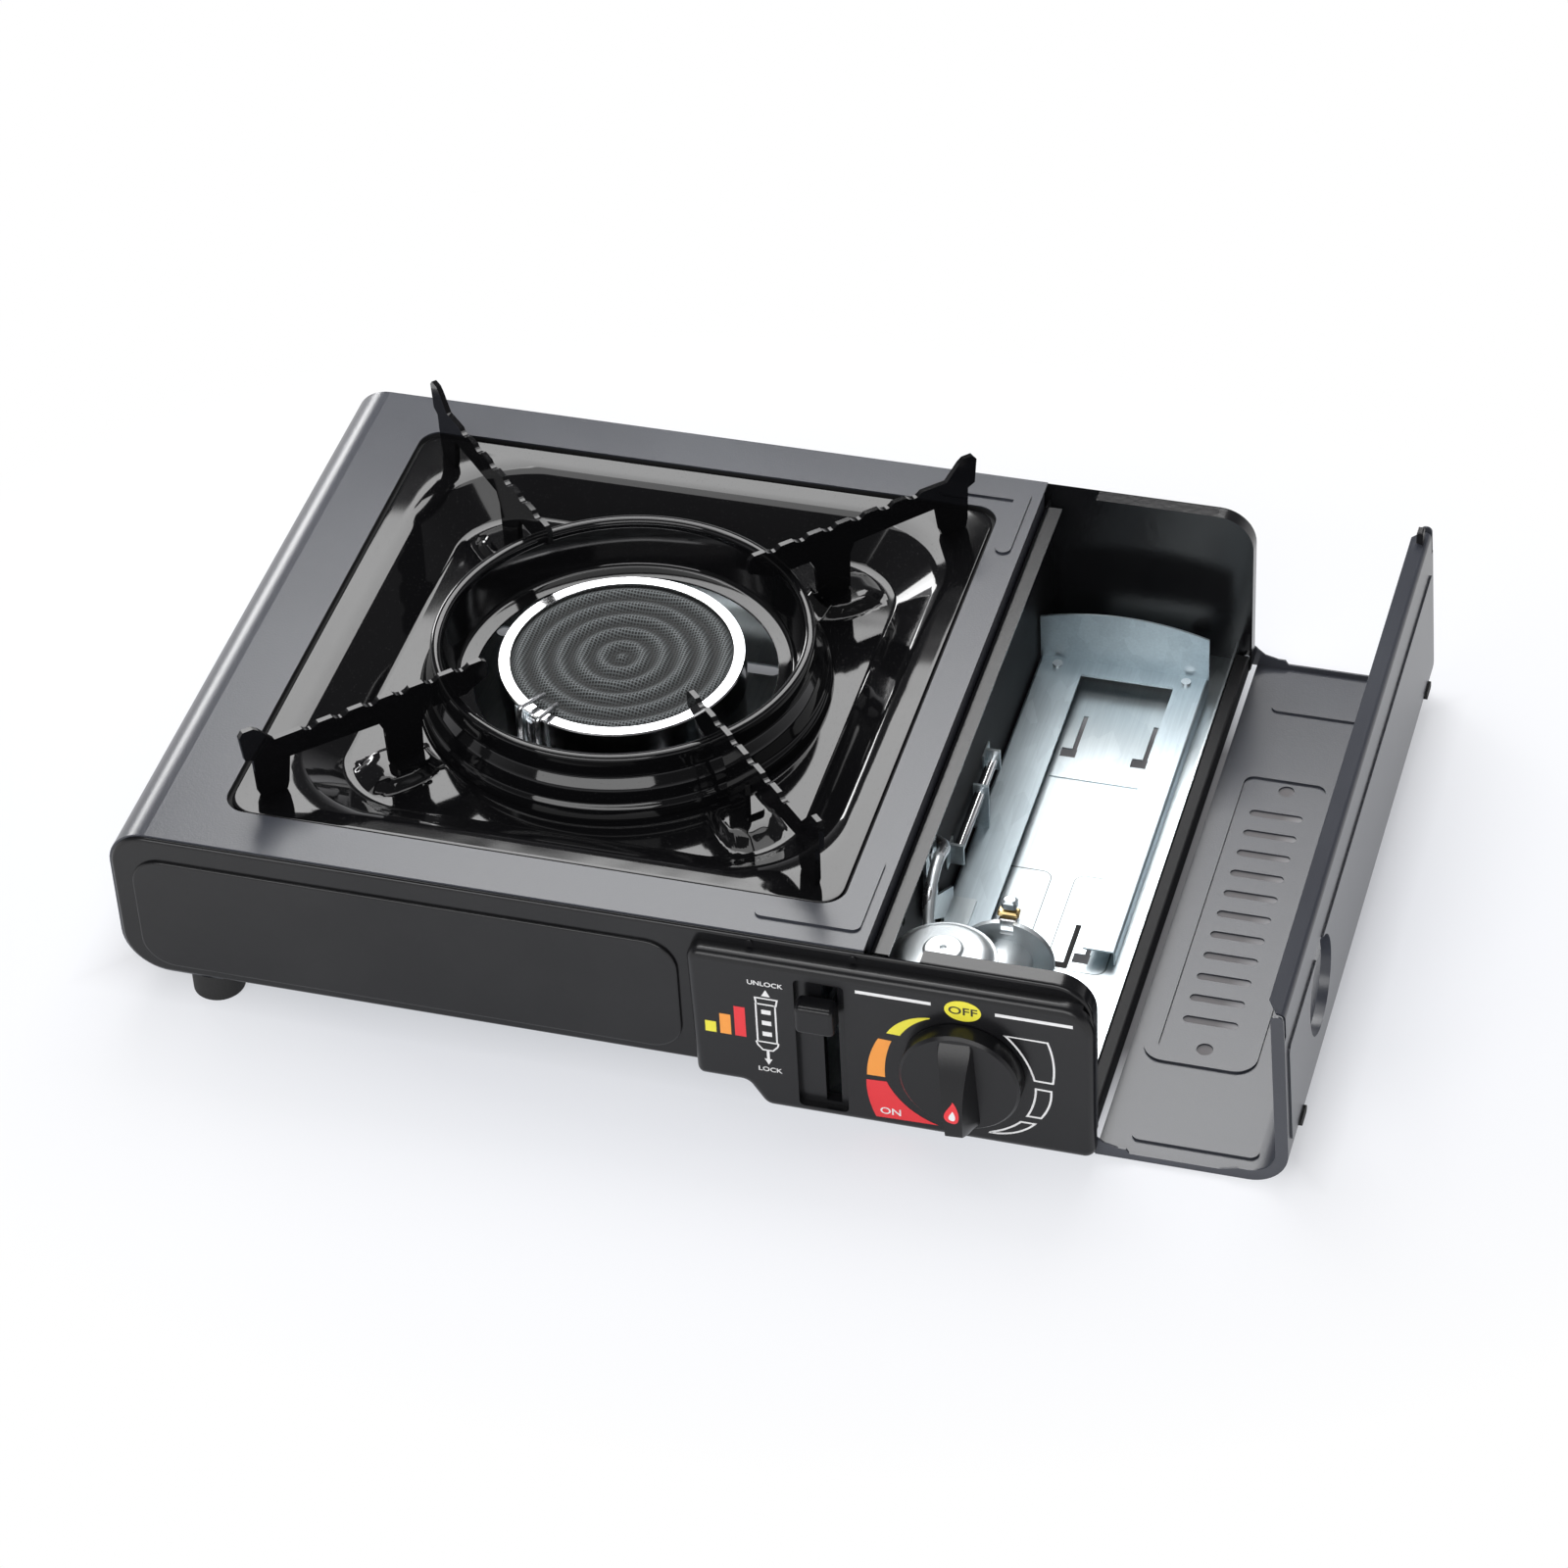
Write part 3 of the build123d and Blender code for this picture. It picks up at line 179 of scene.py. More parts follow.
# satin stoving paint: a fine orange-peel grain, a faint cloudy change of colour and gloss, and painted shade,
# dark and dull, in the sunk square
def makeCoverPaint():
    paint = coverPaint
    f = Finish("coverPaint")
    cloud = f.noise(paint["cloudScale"], 3.0)
    grain = f.noise(paint["grainScale"], 1.0)
    x, y, z = f.axes()
    reach = abs(x - burner["x"] / 1000).most(abs(y))
    # the sunk square round the drip tray: its colour is painted shade, near black, and its paint is dull
    sunk = (reach < paint["sunkHalf"]) * (z < paint["sunkTop"]) * (z > paint["sunkFloor"])
    colour = f.mix(cloud.rise(*paint["cloudRange"]), paint["colour"], paint["dusty"])
    colour = f.mix(sunk, colour, paint["sunk"])
    rough = paint["rough"] + cloud * paint["cloudRough"] + sunk * (paint["sunkRough"] - paint["rough"])
    return f.surface(colour, rough, f.bump(grain, paint["grainDepth"]), IOR=paint["ior"])


panelPaint = {
    "colour": (0.007, 0.007, 0.008), "worn": (0.012, 0.012, 0.013), "rough": 0.16, "ior": 1.42,
    "cloudScale": 22.0, "cloudRange": (0.4, 0.75), "cloudRough": 0.06,
    "peelScale": 420.0, "peelDepth": 0.00004,
}


# paint of the end panels: darker and glossier, over a slow orange peel
def makePanelPaint():
    paint = panelPaint
    f = Finish("panelPaint")
    cloud = f.noise(paint["cloudScale"], 3.0)
    peel = f.noise(paint["peelScale"], 1.0)
    colour = f.mix(cloud.rise(*paint["cloudRange"]), paint["colour"], paint["worn"])
    rough = paint["rough"] + cloud * paint["cloudRough"]
    return f.surface(colour, rough, f.bump(peel, paint["peelDepth"]), IOR=paint["ior"])


enamel = {
    "colour": (0.004, 0.004, 0.0045), "rough": 0.06, "ior": 1.46, "waveScale": 38.0, "waveDepth": 0.00012,
    "speckScale": 900.0, "speckSize": 0.1, "speckColour": (0.03, 0.03, 0.03),
    "speckShare": 0.5, "speckRough": 0.2, "speckPit": 0.1,
}


# fired enamel: near black, mirror smooth, with slow waves where it flowed and a few pin specks
def makeEnamel():
    f = Finish("enamel")
    wave = f.noise(enamel["waveScale"], 1.0, 0.4)
    specks = f.cells(enamel["speckScale"], "Distance") < enamel["speckSize"]
    colour = f.mix(specks * enamel["speckShare"], enamel["colour"], enamel["speckColour"])
    rough = enamel["rough"] + specks * enamel["speckRough"]
    normal = f.bump(wave - specks * enamel["speckPit"], enamel["waveDepth"])
    return f.surface(colour, rough, normal, IOR=enamel["ior"])


galvanised = {"pale": (0.70, 0.76, 0.78), "dark": (0.54, 0.60, 0.63), "rough": 0.30, "spangleScale": 130.0}
carriageZinc = {"pale": (0.60, 0.68, 0.72), "dark": (0.45, 0.52, 0.56), "rough": 0.40, "spangleScale": 160.0}
zincGrain = {
    "spangleStretch": (1.0, 0.45, 1.0), "streakStretch": (900.0, 25.0, 900.0), "streakShare": 0.7,
    "streakDepth": 0.00002, "toneRange": (0.2, 0.8), "toneRough": 0.12,
}
# panels and slots in metres: the middle's x and y, half the width and half the depth
floorPress = {
    "panels": [(0.1520, -0.0258, 0.0110, 0.0254), (0.1182, -0.0410, 0.0142, 0.0400)],
    "slots": [(0.1482, -0.0384, 0.0010, 0.0118), (0.1458, -0.0488, 0.0030, 0.0016)],
    "corner": 0.004, "line": 0.0005, "paintedCreaseShade": 0.07, "paintedSlotShadow": (0.01, 0.01, 0.01),
}


# hot-dip zinc: crystals of slightly different brightness, drawn out along the rolling direction; with a press,
# also painted shade along the pressed outlines of its panels, and a hooked slot painted dark as its shadow
def makeZinc(name, zinc, press=None):
    f = Finish(name)
    crystal = f.axes(f.cells(zinc["spangleScale"], "Color", f.stretched(*zincGrain["spangleStretch"])))[0]
    streak = f.noise(1.0, 3.0, 0.6, f.stretched(*zincGrain["streakStretch"]))
    tone = crystal * (1.0 - zincGrain["streakShare"]) + streak * zincGrain["streakShare"]
    colour = f.mix(tone.rise(*zincGrain["toneRange"]), zinc["dark"], zinc["pale"])
    normal = f.bump(streak, zincGrain["streakDepth"])
    if press:
        x, y, z = f.axes()
        corner = press["corner"]
        # each panel's pressed outline is drawn as a thin dark line, painted shade of its crease
        for middleX, middleY, halfX, halfY in press["panels"]:
            overX = (abs(x - middleX) - (halfX - corner)).most(0.0)
            overY = (abs(y - middleY) - (halfY - corner)).most(0.0)
            line = 1.0 - abs((overX ** 2.0 + overY ** 2.0).root() - corner).rise(0.0, press["line"])
            colour = f.mix(line, colour, [c * press["paintedCreaseShade"] for c in zinc["dark"]])
        # each slot is painted near black where the floor has an opening: painted shadow, no hole is cut
        for middleX, middleY, halfX, halfY in press["slots"]:
            slot = (abs(x - middleX) < halfX) * (abs(y - middleY) < halfY)
            colour = f.mix(slot, colour, press["paintedSlotShadow"])
    return f.surface(colour, zinc["rough"] + tone * zincGrain["toneRough"], normal, Metallic=1.0)


metalGrain = {"smudgeScale": 90.0, "smudgeRange": (0.3, 0.75), "grainRough": 0.08}


# bare or plated metal with a turned or drawn grain
def makeMetal(name, pale, dark, rough, grainScale, grainDepth=0.00002):
    f = Finish(name)
    grain = f.noise(grainScale, 2.0)
    smudge = f.noise(metalGrain["smudgeScale"], 2.0)
    colour = f.mix(smudge.rise(*metalGrain["smudgeRange"]), pale, dark)
    return f.surface(colour, rough + grain * metalGrain["grainRough"], f.bump(grain, grainDepth), Metallic=1.0)


ceramic = {
    "colour": (0.120, 0.132, 0.136), "hole": (0.004, 0.004, 0.004), "rough": 0.75,
    "pitch": 0.0012, "open": 0.36, "openEdge": 0.06, "holeDepth": 0.0003, "ringPitch": 0.0076, "paintedValleyShade": 0.22,
    "dustScale": 700.0, "dustShade": 1.3,
}


# burner plate: a square grid of small round-cornered holes painted dark as painted shade, in a ceramic with
# painted shade in the valleys of its rings
def makeCeramic():
    f = Finish("ceramic")
    x, y, z = f.axes()
    pitch, half, edge = (ceramic[key] for key in ("pitch", "open", "openEdge"))
    acrossCell = abs((x / pitch) % 1.0 - 0.5)
    alongCell = abs((y / pitch) % 1.0 - 0.5)
    corner = (acrossCell ** 3.0 + alongCell ** 3.0) ** (1.0 / 3.0)
    # each hole is a near-black patch of painted shade with a slight bump; no opening is cut
    hole = 1.0 - corner.rise(half - edge, half + edge)
    dust = f.noise(ceramic["dustScale"], 2.0)
    radius = ((x - burner["x"] / 1000) ** 2.0 + y ** 2.0).root()
    turn = radius * (2 * pi / ceramic["ringPitch"])
    ridge = f.add("ShaderNodeMath", {"operation": "COSINE"}, {0: turn}) * 0.5 + 0.5
    web = f.mix(dust, ceramic["colour"], [c * ceramic["dustShade"] for c in ceramic["colour"]])
    # the valleys between the plate's rings are darkened as painted shade, the ridges keep the full colour
    web = f.mix(ridge, [c * ceramic["paintedValleyShade"] for c in ceramic["colour"]], web)
    normal = f.bump(1.0 - hole, ceramic["holeDepth"], 0.6)
    return f.surface(f.mix(hole, web, ceramic["hole"]), ceramic["rough"], normal)


plasticCloud = {"scale": 40.0, "range": (0.3, 0.8), "shade": 1.25, "rough": 0.06, "ior": 1.42}
panelRoof = {"low": 0.0722, "high": 0.0742, "rougher": 0.42}
partitionLedge = {"low": 0.0690, "high": 0.0698, "rougher": -0.42}


# moulded plastic or dull paint: one colour, a fine grain, gloss a little uneven; with a roof, another gloss
# above its height
def makePlastic(name, colour, rough, grainScale, grainDepth, roof=None):
    f = Finish(name)
    grain = f.noise(grainScale, 2.0)
    cloud = f.noise(plasticCloud["scale"], 2.0)
    tone = f.mix(cloud.rise(*plasticCloud["range"]), colour, [c * plasticCloud["shade"] for c in colour])
    gloss = rough + cloud * plasticCloud["rough"]
    if roof:
        gloss = gloss + f.axes()[2].rise(roof["low"], roof["high"]) * roof["rougher"]
    return f.surface(tone, gloss, f.bump(grain, grainDepth), IOR=plasticCloud["ior"])


inkRaster = {"scale": 2600.0, "range": (0.55, 0.8), "share": 0.35, "shade": 0.8, "rough": 0.42}


# pad-printed ink: nearly flat colour, thin where the raster shows
def makeInk(name, colour):
    f = Finish(name)
    thin = f.noise(inkRaster["scale"], 1.0).rise(*inkRaster["range"]) * inkRaster["share"]
    return f.surface(f.mix(thin, colour, [c * inkRaster["shade"] for c in colour]), inkRaster["rough"])


# a metal's pale and dark colour, roughness, grain scale and grain depth; a plastic has one colour
finishes = {
    "cover_paint": makeCoverPaint(),
    "panel_paint": makePanelPaint(),
    "enamel": makeEnamel(),
    "galvanised": makeZinc("galvanised", galvanised),
    "bright_steel": makeMetal("brightSteel", (0.78, 0.79, 0.80), (0.62, 0.63, 0.65), 0.22, 800.0),
    "chrome": makeMetal("chrome", (0.86, 0.86, 0.87), (0.72, 0.72, 0.74), 0.10, 500.0, 0.00001),
    "ceramic": makeCeramic(),
    "brass": makeMetal("brass", (0.78, 0.60, 0.30), (0.60, 0.44, 0.20), 0.25, 900.0),
    "cast_alloy": makeMetal("castAlloy", (0.74, 0.78, 0.80), (0.62, 0.66, 0.68), 0.42, 1400.0, 0.00006),
    "panel_plastic": makePlastic("panelPlastic", (0.008, 0.008, 0.009), 0.22, 2200.0, 0.00002, panelRoof),
    "knob_plastic": makePlastic("knobPlastic", (0.005, 0.005, 0.006), 0.26, 2600.0, 0.00002),
    "foot_rubber": makePlastic("footRubber", (0.018, 0.018, 0.018), 0.70, 1600.0, 0.00006),
}
slotOf = {entry["node"]: entry["material_slot"] for entry in frame["record"]["subparts"]}
for nodeName, node in nodes.items():
    if not node.material_slots:
        node.data.materials.append(None)
    for holder in node.material_slots:
        holder.material = finishes[slotOf[nodeName]]
ownFinishes = {
    "carriage": makeZinc("carriageZinc", carriageZinc),
    "cartridge_inlet": finishes["cast_alloy"],
    "valve_body": finishes["cast_alloy"],
    "panel_screws": finishes["panel_paint"],
    "partition": makePlastic("partitionPaint", (0.007, 0.007, 0.008), 0.58, 1400.0, 0.00004, partitionLedge),
    "side_sill": makePlastic("sillPaint", (0.006, 0.006, 0.007), 0.58, 1400.0, 0.00004),
    "compartment_tray": makeZinc("floorZinc", galvanised, floorPress),
}
for nodeName, finish in ownFinishes.items():
    for holder in nodes[nodeName].material_slots:
        holder.material = finish
inks = {
    "white": makeInk("inkWhite", (0.86, 0.86, 0.86)),
    "yellow": makeInk("inkYellow", (0.88, 0.80, 0.06)),
    "orange": makeInk("inkOrange", (0.95, 0.36, 0.06)),
    "red": makeInk("inkRed", (0.82, 0.035, 0.045)),
    "black": makeInk("inkBlack", (0.02, 0.02, 0.02)),
}
print("finishes given to", len(slotOf), "nodes")


# mesh from points in metres and faces, with its finish and the body it rides on
def addPiece(name, points, faces, finish, body, slot):
    mesh = bpy.data.meshes.new(name)
    mesh.from_pydata(np.asarray(points, float).tolist(), [], [list(face) for face in faces])
    mesh.update()
    piece = bpy.data.objects.new(name, mesh)
    scene.collection.objects.link(piece)
    piece.data.materials.append(finish)
    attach(piece, body)
    return piece


# quads of a surface whose rows of points close round, and whose last row joins the first
def gridFaces(rows, columns):
    row, column = np.meshgrid(np.arange(rows), np.arange(columns), indexing="ij")
    below = (row + 1) % rows
    beside = (column + 1) % columns
    here, under = row * columns, below * columns
    return np.stack([here + column, here + beside, under + beside, under + column], -1).reshape(-1, 4)


# a grid in millimetres as a smooth piece: its last row joins its first, or both ends are capped, and its faces
# point outwards
def addShell(name, grid, finish, body, slot, capped=False):
    rows, columns = grid.shape[:2]
    points = grid.reshape(-1, 3) / 1000
    faces = gridFaces(rows, columns)
    ends = []
    if capped:
        faces = faces[:-columns]
        ends = [list(range(columns))[::-1], list(range((rows - 1) * columns, rows * columns))]
    a, b, c, d = ((points - points.mean(0))[faces[:, i]] for i in range(4))
    volume = np.sum(np.cross(b - a, c - a) * a) + np.sum(np.cross(c - a, d - a) * a)
    if volume < 0:
        faces = faces[:, ::-1]
        ends = [end[::-1] for end in ends]
    piece = addPiece(name, points, faces.tolist() + ends, finish, body, slot)
    smooth = np.ones(len(faces) + len(ends), bool)
    smooth[len(faces):] = False
    piece.data.polygons.foreach_set("use_smooth", smooth)
    return piece


# profile of radius and height turned about an upright axis
def turnedGrid(profile, x, y, count):
    angle = np.linspace(0, 2 * pi, count, endpoint=False)
    radius, z = (column[:, None] for column in np.asarray(profile, float).T)
    return np.stack([x + radius * np.cos(angle), y + radius * np.sin(angle), z + 0 * angle], -1)


# round wire along a path: path + radius (side cos t + across sin t), with across square to the path's plane
def wireGrid(path, across, radius, count=12):
    path = np.asarray(path, float)
    across = np.asarray(across, float) / np.linalg.norm(across)
    along = np.gradient(path, axis=0)
    side = np.cross(along, across)
    side /= np.linalg.norm(side, axis=1)[:, None]
    turn = np.linspace(0, 2 * pi, count, endpoint=False)[:, None]
    return path[:, None] + radius * (np.cos(turn) * side[:, None] + np.sin(turn) * across)


# a run of points with its inner corners rounded by quadratic curves: each starts at its cut's distance from
# the corner
def softened(corners, cuts, steps=8):
    corners = np.asarray(corners, float)
    share = np.linspace(0, 1, steps)[:, None]
    run = [corners[:1]]
    for before, corner, after, cut in zip(corners[:-2], corners[1:-1], corners[2:], cuts):
        ways = [other - corner for other in (before, after)]
        start, end = (corner + way * cut / np.hypot(*way[[0, -1]]) for way in ways)
        run.append(start * (1 - share) ** 2 + corner * 2 * share * (1 - share) + end * share ** 2)
    return np.vstack(run + [corners[-1:]])


# the same run with points added so that none are further apart than the step
def refined(run, step):
    length = np.concatenate([[0], np.cumsum(np.hypot(np.diff(run[:, 0]), np.diff(run[:, -1])))])
    marks = np.union1d(length, np.arange(0, length[-1], step))
    return np.stack([np.interp(marks, length, column) for column in run.T], 1)


# distance from the middle to a rounded rectangle's edge, for each direction
def edgeDistance(halfX, halfY, corner, angle):
    across, along = np.abs(np.cos(angle)), np.abs(np.sin(angle))
    toSide = halfX / np.maximum(across, 1e-9)
    toEnd = halfY / np.maximum(along, 1e-9)
    flatX, flatY = halfX - corner, halfY - corner
    middle = across * flatX + along * flatY
    toCorner = middle + np.sqrt(np.maximum(middle ** 2 - flatX ** 2 - flatY ** 2 + corner ** 2, 0))
    return np.where(toSide * along <= flatY, toSide, np.where(toEnd * across <= flatX, toEnd, toCorner))


# each corner: half the width, half the depth and the corner radius of a rounded square, and its height
dripTray = {
    "corners": [(113, 112.5, 8.5, 74.8), (113, 112.5, 8.5, 75.9), (102.6, 102.6, 40, 75.2), (86, 86, 26, 63.7),
                (74.6, 74.6, 74.6, 63.7)],
    "cuts": [0.6, 3.2, 0.9], "step": 1.2, "sheet": 0.9, "hem": 0.5,
    "padDistance": 92.9, "padHalf": (11.4, 10.7), "padCorner": 8.0, "padRise": 4.0, "padFlank": 2.4,
    "padSpread": 0.3,
}


# drip tray: rounded squares from the rim down to the round hole, with a raised pad towards each corner
def makeDripTray():
    tray = dripTray
    sections = refined(softened(tray["corners"], tray["cuts"]), tray["step"])
    halfX, halfY, corner, z = (column[:, None] for column in sections.T)
    angle = np.linspace(0, 2 * pi, burner["directions"], endpoint=False)
    distance = edgeDistance(halfX, halfY, corner, angle)
    toDiagonal = angle % (pi / 2) - pi / 4
    outward = distance * np.cos(toDiagonal) - tray["padDistance"]
    sideways = distance * np.sin(toDiagonal)
    overX = np.maximum(np.abs(outward) - tray["padHalf"][0] + tray["padCorner"], 0)
    overY = np.maximum(np.abs(sideways) - tray["padHalf"][1] + tray["padCorner"], 0)
    depth = (tray["padCorner"] - np.hypot(overX, overY)) / tray["padFlank"]
    inside = np.clip(depth + tray["padSpread"], 0, 1)
    pad = tray["corners"][-1][-1] + tray["padRise"] * inside ** 2 * (3 - 2 * inside)
    z = np.maximum(z + 0 * distance, pad)
    top = np.stack([burner["x"] + distance * np.cos(angle), distance * np.sin(angle), z], -1)
    under = top[halfX[:, 0] < tray["corners"][0][0] - tray["hem"]][::-1] - [0, 0, tray["sheet"]]
    piece = addShell("enamelled_tray", np.vstack([top, under]), finishes["enamel"], "tray", "enamel")
    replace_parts(piece, "drip_tray")


windRing = {
    "x": -28.3,
    "corners": [
        (75.2, 63.75), (76.4, 63.75), (75.9, 67.6), (74.3, 69.2), (73.0, 74.4), (70.0, 78.4), (70.6, 84.0),
        (70.6, 87.4), (66.4, 87.4), (66.2, 84.0), (62.2, 69.3), (56.0, 68.3), (56.0, 67.5), (63.1, 68.6),
        (67.1, 84.0), (67.2, 86.4), (69.7, 86.4), (69.7, 84.0), (69.1, 78.1), (72.1, 74.0), (73.4, 68.8),
        (75.0, 67.2), (75.2, 63.75)],
    "cuts": [0.2, 1.2, 0.9, 1.2, 0.9, 0.6, 2.0, 2.0, 0.5, 1.6,
             0.2, 0.2, 1.2, 0.4, 1.0, 1.0, 0.4, 0.8, 1.0, 0.8, 0.6],
    "steps": 6, "directions": 240,
}


# ring around the burner: its stepped wall, rolled lip and shelf turned about the burner's axis
def makeWindRing():
    profile = softened(windRing["corners"], windRing["cuts"], windRing["steps"])[:-1]
    grid = turnedGrid(profile, windRing["x"], 0.0, windRing["directions"])
    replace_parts(addShell("enamelled_ring", grid, finishes["enamel"], "tray", "enamel"), "wind_ring")


burnerPlate = {
    "radius": 43.0, "middle": 75.8, "swing": 0.9, "pitch": 7.6, "fade": 3.0, "bottom": 73.0, "tip": 0.05,
    "rows": 110, "directions": 180,
}


# ceramic burner plate: its top rises and falls in rings, z = middle + swing cos(2 pi r / pitch)
def makeBurnerPlate():
    plate = burnerPlate
    radius = np.linspace(plate["tip"], plate["radius"], plate["rows"])
    fade = np.clip((plate["radius"] - radius) / plate["fade"], 0, 1)
    top = plate["middle"] + plate["swing"] * fade * np.cos(2 * pi * radius / plate["pitch"])
    bottom = [(plate["radius"], plate["bottom"]), (plate["tip"], plate["bottom"])]
    grid = turnedGrid(np.vstack([np.stack([radius, top], 1), bottom]), burner["x"], 0.0, plate["directions"])
    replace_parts(addShell("burner_plate", grid, finishes["ceramic"], "body", "ceramic"), "ceramic_plaque")


electrodes = {
    "spark_electrode": {"angle": 237.3, "tip": 36.5, "height": 79.2},
    "thermocouple": {"angle": 248.0, "tip": 37.0, "height": 78.6},
}
electrodeWire = {"distance": 48.3, "foot": 63.0, "bend": 3.2, "rise": 1.2, "radius": 1.1, "steps": 9}


# electrode: a wire that stands beside the burner's skirt and bends in over its edge
def makeElectrode(node, place):
    wire = electrodeWire
    bend = (wire["distance"], place["height"] + wire["rise"])
    corners = [(wire["distance"], wire["foot"]), bend, (place["tip"], place["height"])]
    run = softened(corners, [wire["bend"]], wire["steps"])
    across, along = cos(radians(place["angle"])), sin(radians(place["angle"]))
    path = np.stack([burner["x"] + run[:, 0] * across, run[:, 0] * along, run[:, 1]], -1)
    grid = wireGrid(path, (-along, across, 0), wire["radius"])
    piece = addShell(node + "_wire", grid, finishes["bright_steel"], "body", "bright_steel", capped=True)
    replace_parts(piece, node)


electrodeTab = {
    "inner": 46.4, "outer": 47.0, "from": 231.5, "to": 239.0, "bottom": 60.0, "top": 77.3, "steps": 8,
}


# pale tab beside the burner's skirt, curved with it, that holds the electrodes
def makeElectrodeTab():
    tab = electrodeTab
    inner, outer, bottom, top = (tab[key] for key in ("inner", "outer", "bottom", "top"))
    angle = np.radians(np.linspace(tab["from"], tab["to"], tab["steps"]))
    radius, z = np.array([(inner, bottom), (outer, bottom), (outer, top), (inner, top)]).T
    x = burner["x"] + np.outer(np.cos(angle), radius)
    grid = np.stack([x, np.outer(np.sin(angle), radius), z + 0 * angle[:, None]], -1)
    addShell("electrode_tab", grid, finishes["galvanised"], "body", "galvanised", capped=True)


makeDripTray()
makeWindRing()
makeBurnerPlate()
for node, place in electrodes.items():
    makeElectrode(node, place)
makeElectrodeTab()
print("burner and enamelware shaped")

regulatorCap = {
    "x": 119.3, "y": -107.0,
    "corners": [(0.05, 58.0), (0.9, 58.0), (1.2, 58.9), (6.4, 58.9), (7.0, 57.9), (15.2, 56.6), (17.3, 53.6),
                (19.0, 53.4), (19.0, 52.4), (0.05, 52.4)],
    "cuts": [0.2, 0.2, 0.5, 0.4, 2.0, 0.8, 0.3, 0.2], "steps": 5, "directions": 96,
}


# regulator cap: a shallow dome with a raised middle and a small vent hole, over a crimped edge
def makeRegulatorCap():
    cap = regulatorCap
    profile = softened(cap["corners"], cap["cuts"], cap["steps"])
    grid = turnedGrid(profile, cap["x"], cap["y"], cap["directions"])
    piece = addShell("regulator_dome", grid, finishes["cast_alloy"], "body", "cast_alloy")
    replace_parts(piece, "regulator_cap")


makeRegulatorCap()

gasHose = {
    "route": [(106.4, -63.0, 60.2), (106.5, -76.0, 60.0), (108.6, -90.0, 55.0), (110.8, -93.0, 45.0)],
    "across": (1, -0.1, 0), "radius": 2.1, "steps": 18,
}


# second tube beside the gas tube, from under the partition's ledge down into the regulator: a cubic curve led
# by the four points of its route
def makeGasHose():
    share = np.linspace(0, 1, gasHose["steps"])[:, None]
    rest = 1 - share
    first, second, third, last = np.array(gasHose["route"])
    path = first * rest ** 3 + 3 * rest * share * (second * rest + third * share) + last * share ** 3
    grid = wireGrid(path, gasHose["across"], gasHose["radius"])
    addShell("gas_hose", grid, finishes["cast_alloy"], "body", "cast_alloy", capped=True)


makeGasHose()

# small plain parts: the body they ride on, their finish, the low and the high corner, and the cut of the edges
blocks = {
    "rail_tongue": ("carriage", "galvanised", (101.2, -66.0, 9.25), (118.0, -45.1, 9.95), 0.2),
    "inlet_clip": ("body", "bright_steel", (133.6, -85.6, 52.6), (140.4, -81.4, 56.0), 0.4),
    "inlet_nut": ("body", "brass", (133.0, -85.2, 56.6), (140.8, -81.0, 58.8), 0.6),
    "inlet_latch": ("body", "galvanised", (134.4, -84.8, 59.4), (139.8, -80.4, 63.4), 0.8),
}


# a block as four rings of eight points, from its low end to its high end, with cut edges
def makeBlock(name, body, slot, low, high, cut):
    (x0, y0, z0), (x1, y1, z1) = low, high
    rows = []
    for z, inset in ((z0, cut), (z0 + cut, 0), (z1 - cut, 0), (z1, cut)):
        left, right, near, far = x0 + inset, x1 - inset, y0 + inset, y1 - inset
        rows.append([
            (left + cut, near, z), (right - cut, near, z), (right, near + cut, z), (right, far - cut, z),
            (right - cut, far, z), (left + cut, far, z), (left, far - cut, z), (left, near + cut, z)])
    piece = addShell(name, np.array(rows, float), finishes[slot], body, slot, capped=True)
    piece.data.polygons.foreach_set("use_smooth", np.zeros(len(piece.data.polygons), bool))


for name, (body, slot, low, high, cut) in blocks.items():
    makeBlock(name, body, slot, low, high, cut)
print("compartment details added")


# points along the circle through three points, first to last: centre + radius (cos t, sin t)
def arcThrough(first, middle, last, count=14):
    (ax, ay), (bx, by), (cx, cy) = first, middle, last
    twice = 2 * (ax * (by - cy) + bx * (cy - ay) + cx * (ay - by))
    sa, sb, sc = ax * ax + ay * ay, bx * bx + by * by, cx * cx + cy * cy
    x0 = (sa * (by - cy) + sb * (cy - ay) + sc * (ay - by)) / twice
    y0 = (sa * (cx - bx) + sb * (ax - cx) + sc * (bx - ax)) / twice
    start = atan2(ay - y0, ax - x0)
    end = atan2(cy - y0, cx - x0)
    turn = (end - start + pi) % (2 * pi) - pi
    angle = start + turn * np.linspace(0, 1, count)
    radius = np.hypot(ax - x0, ay - y0)
    return np.stack([x0 + radius * np.cos(angle), y0 + radius * np.sin(angle)], 1)


# signed area of a closed outline, positive when it runs anticlockwise
def outlineArea(outline):
    x, z = outline.T
    return float(np.sum(x * np.roll(z, -1) - np.roll(x, -1) * z)) / 2


# the panel's face and the ink's thickness and lift in metres, and the widths of its lines in millimetres
printing = {
    "face": -0.1415, "thick": 0.00006, "lift": 0.00002,
    "sectorLine": 0.75, "canisterLine": 0.6, "mitreLimit": 0.45,
}


# a flat shape of ink: the outline in millimetres on the panel face, given a back, a front and a rim
def printFill(outline):
    outline = np.asarray(outline, float)
    if outlineArea(outline) < 0:
        outline = outline[::-1]
    count = len(outline)
    y = printing["face"] - printing["lift"]
    back = np.stack([outline[:, 0] / 1000, np.full(count, y), outline[:, 1] / 1000], 1)
    front = back - [0, printing["thick"], 0]
    ring = np.arange(count)
    after = np.roll(ring, -1)
    rim = np.stack([ring, after, after + count, ring + count], 1)
    faces = [list(ring[::-1]), list(ring + count)] + rim.tolist()
    return np.vstack([back, front]), faces


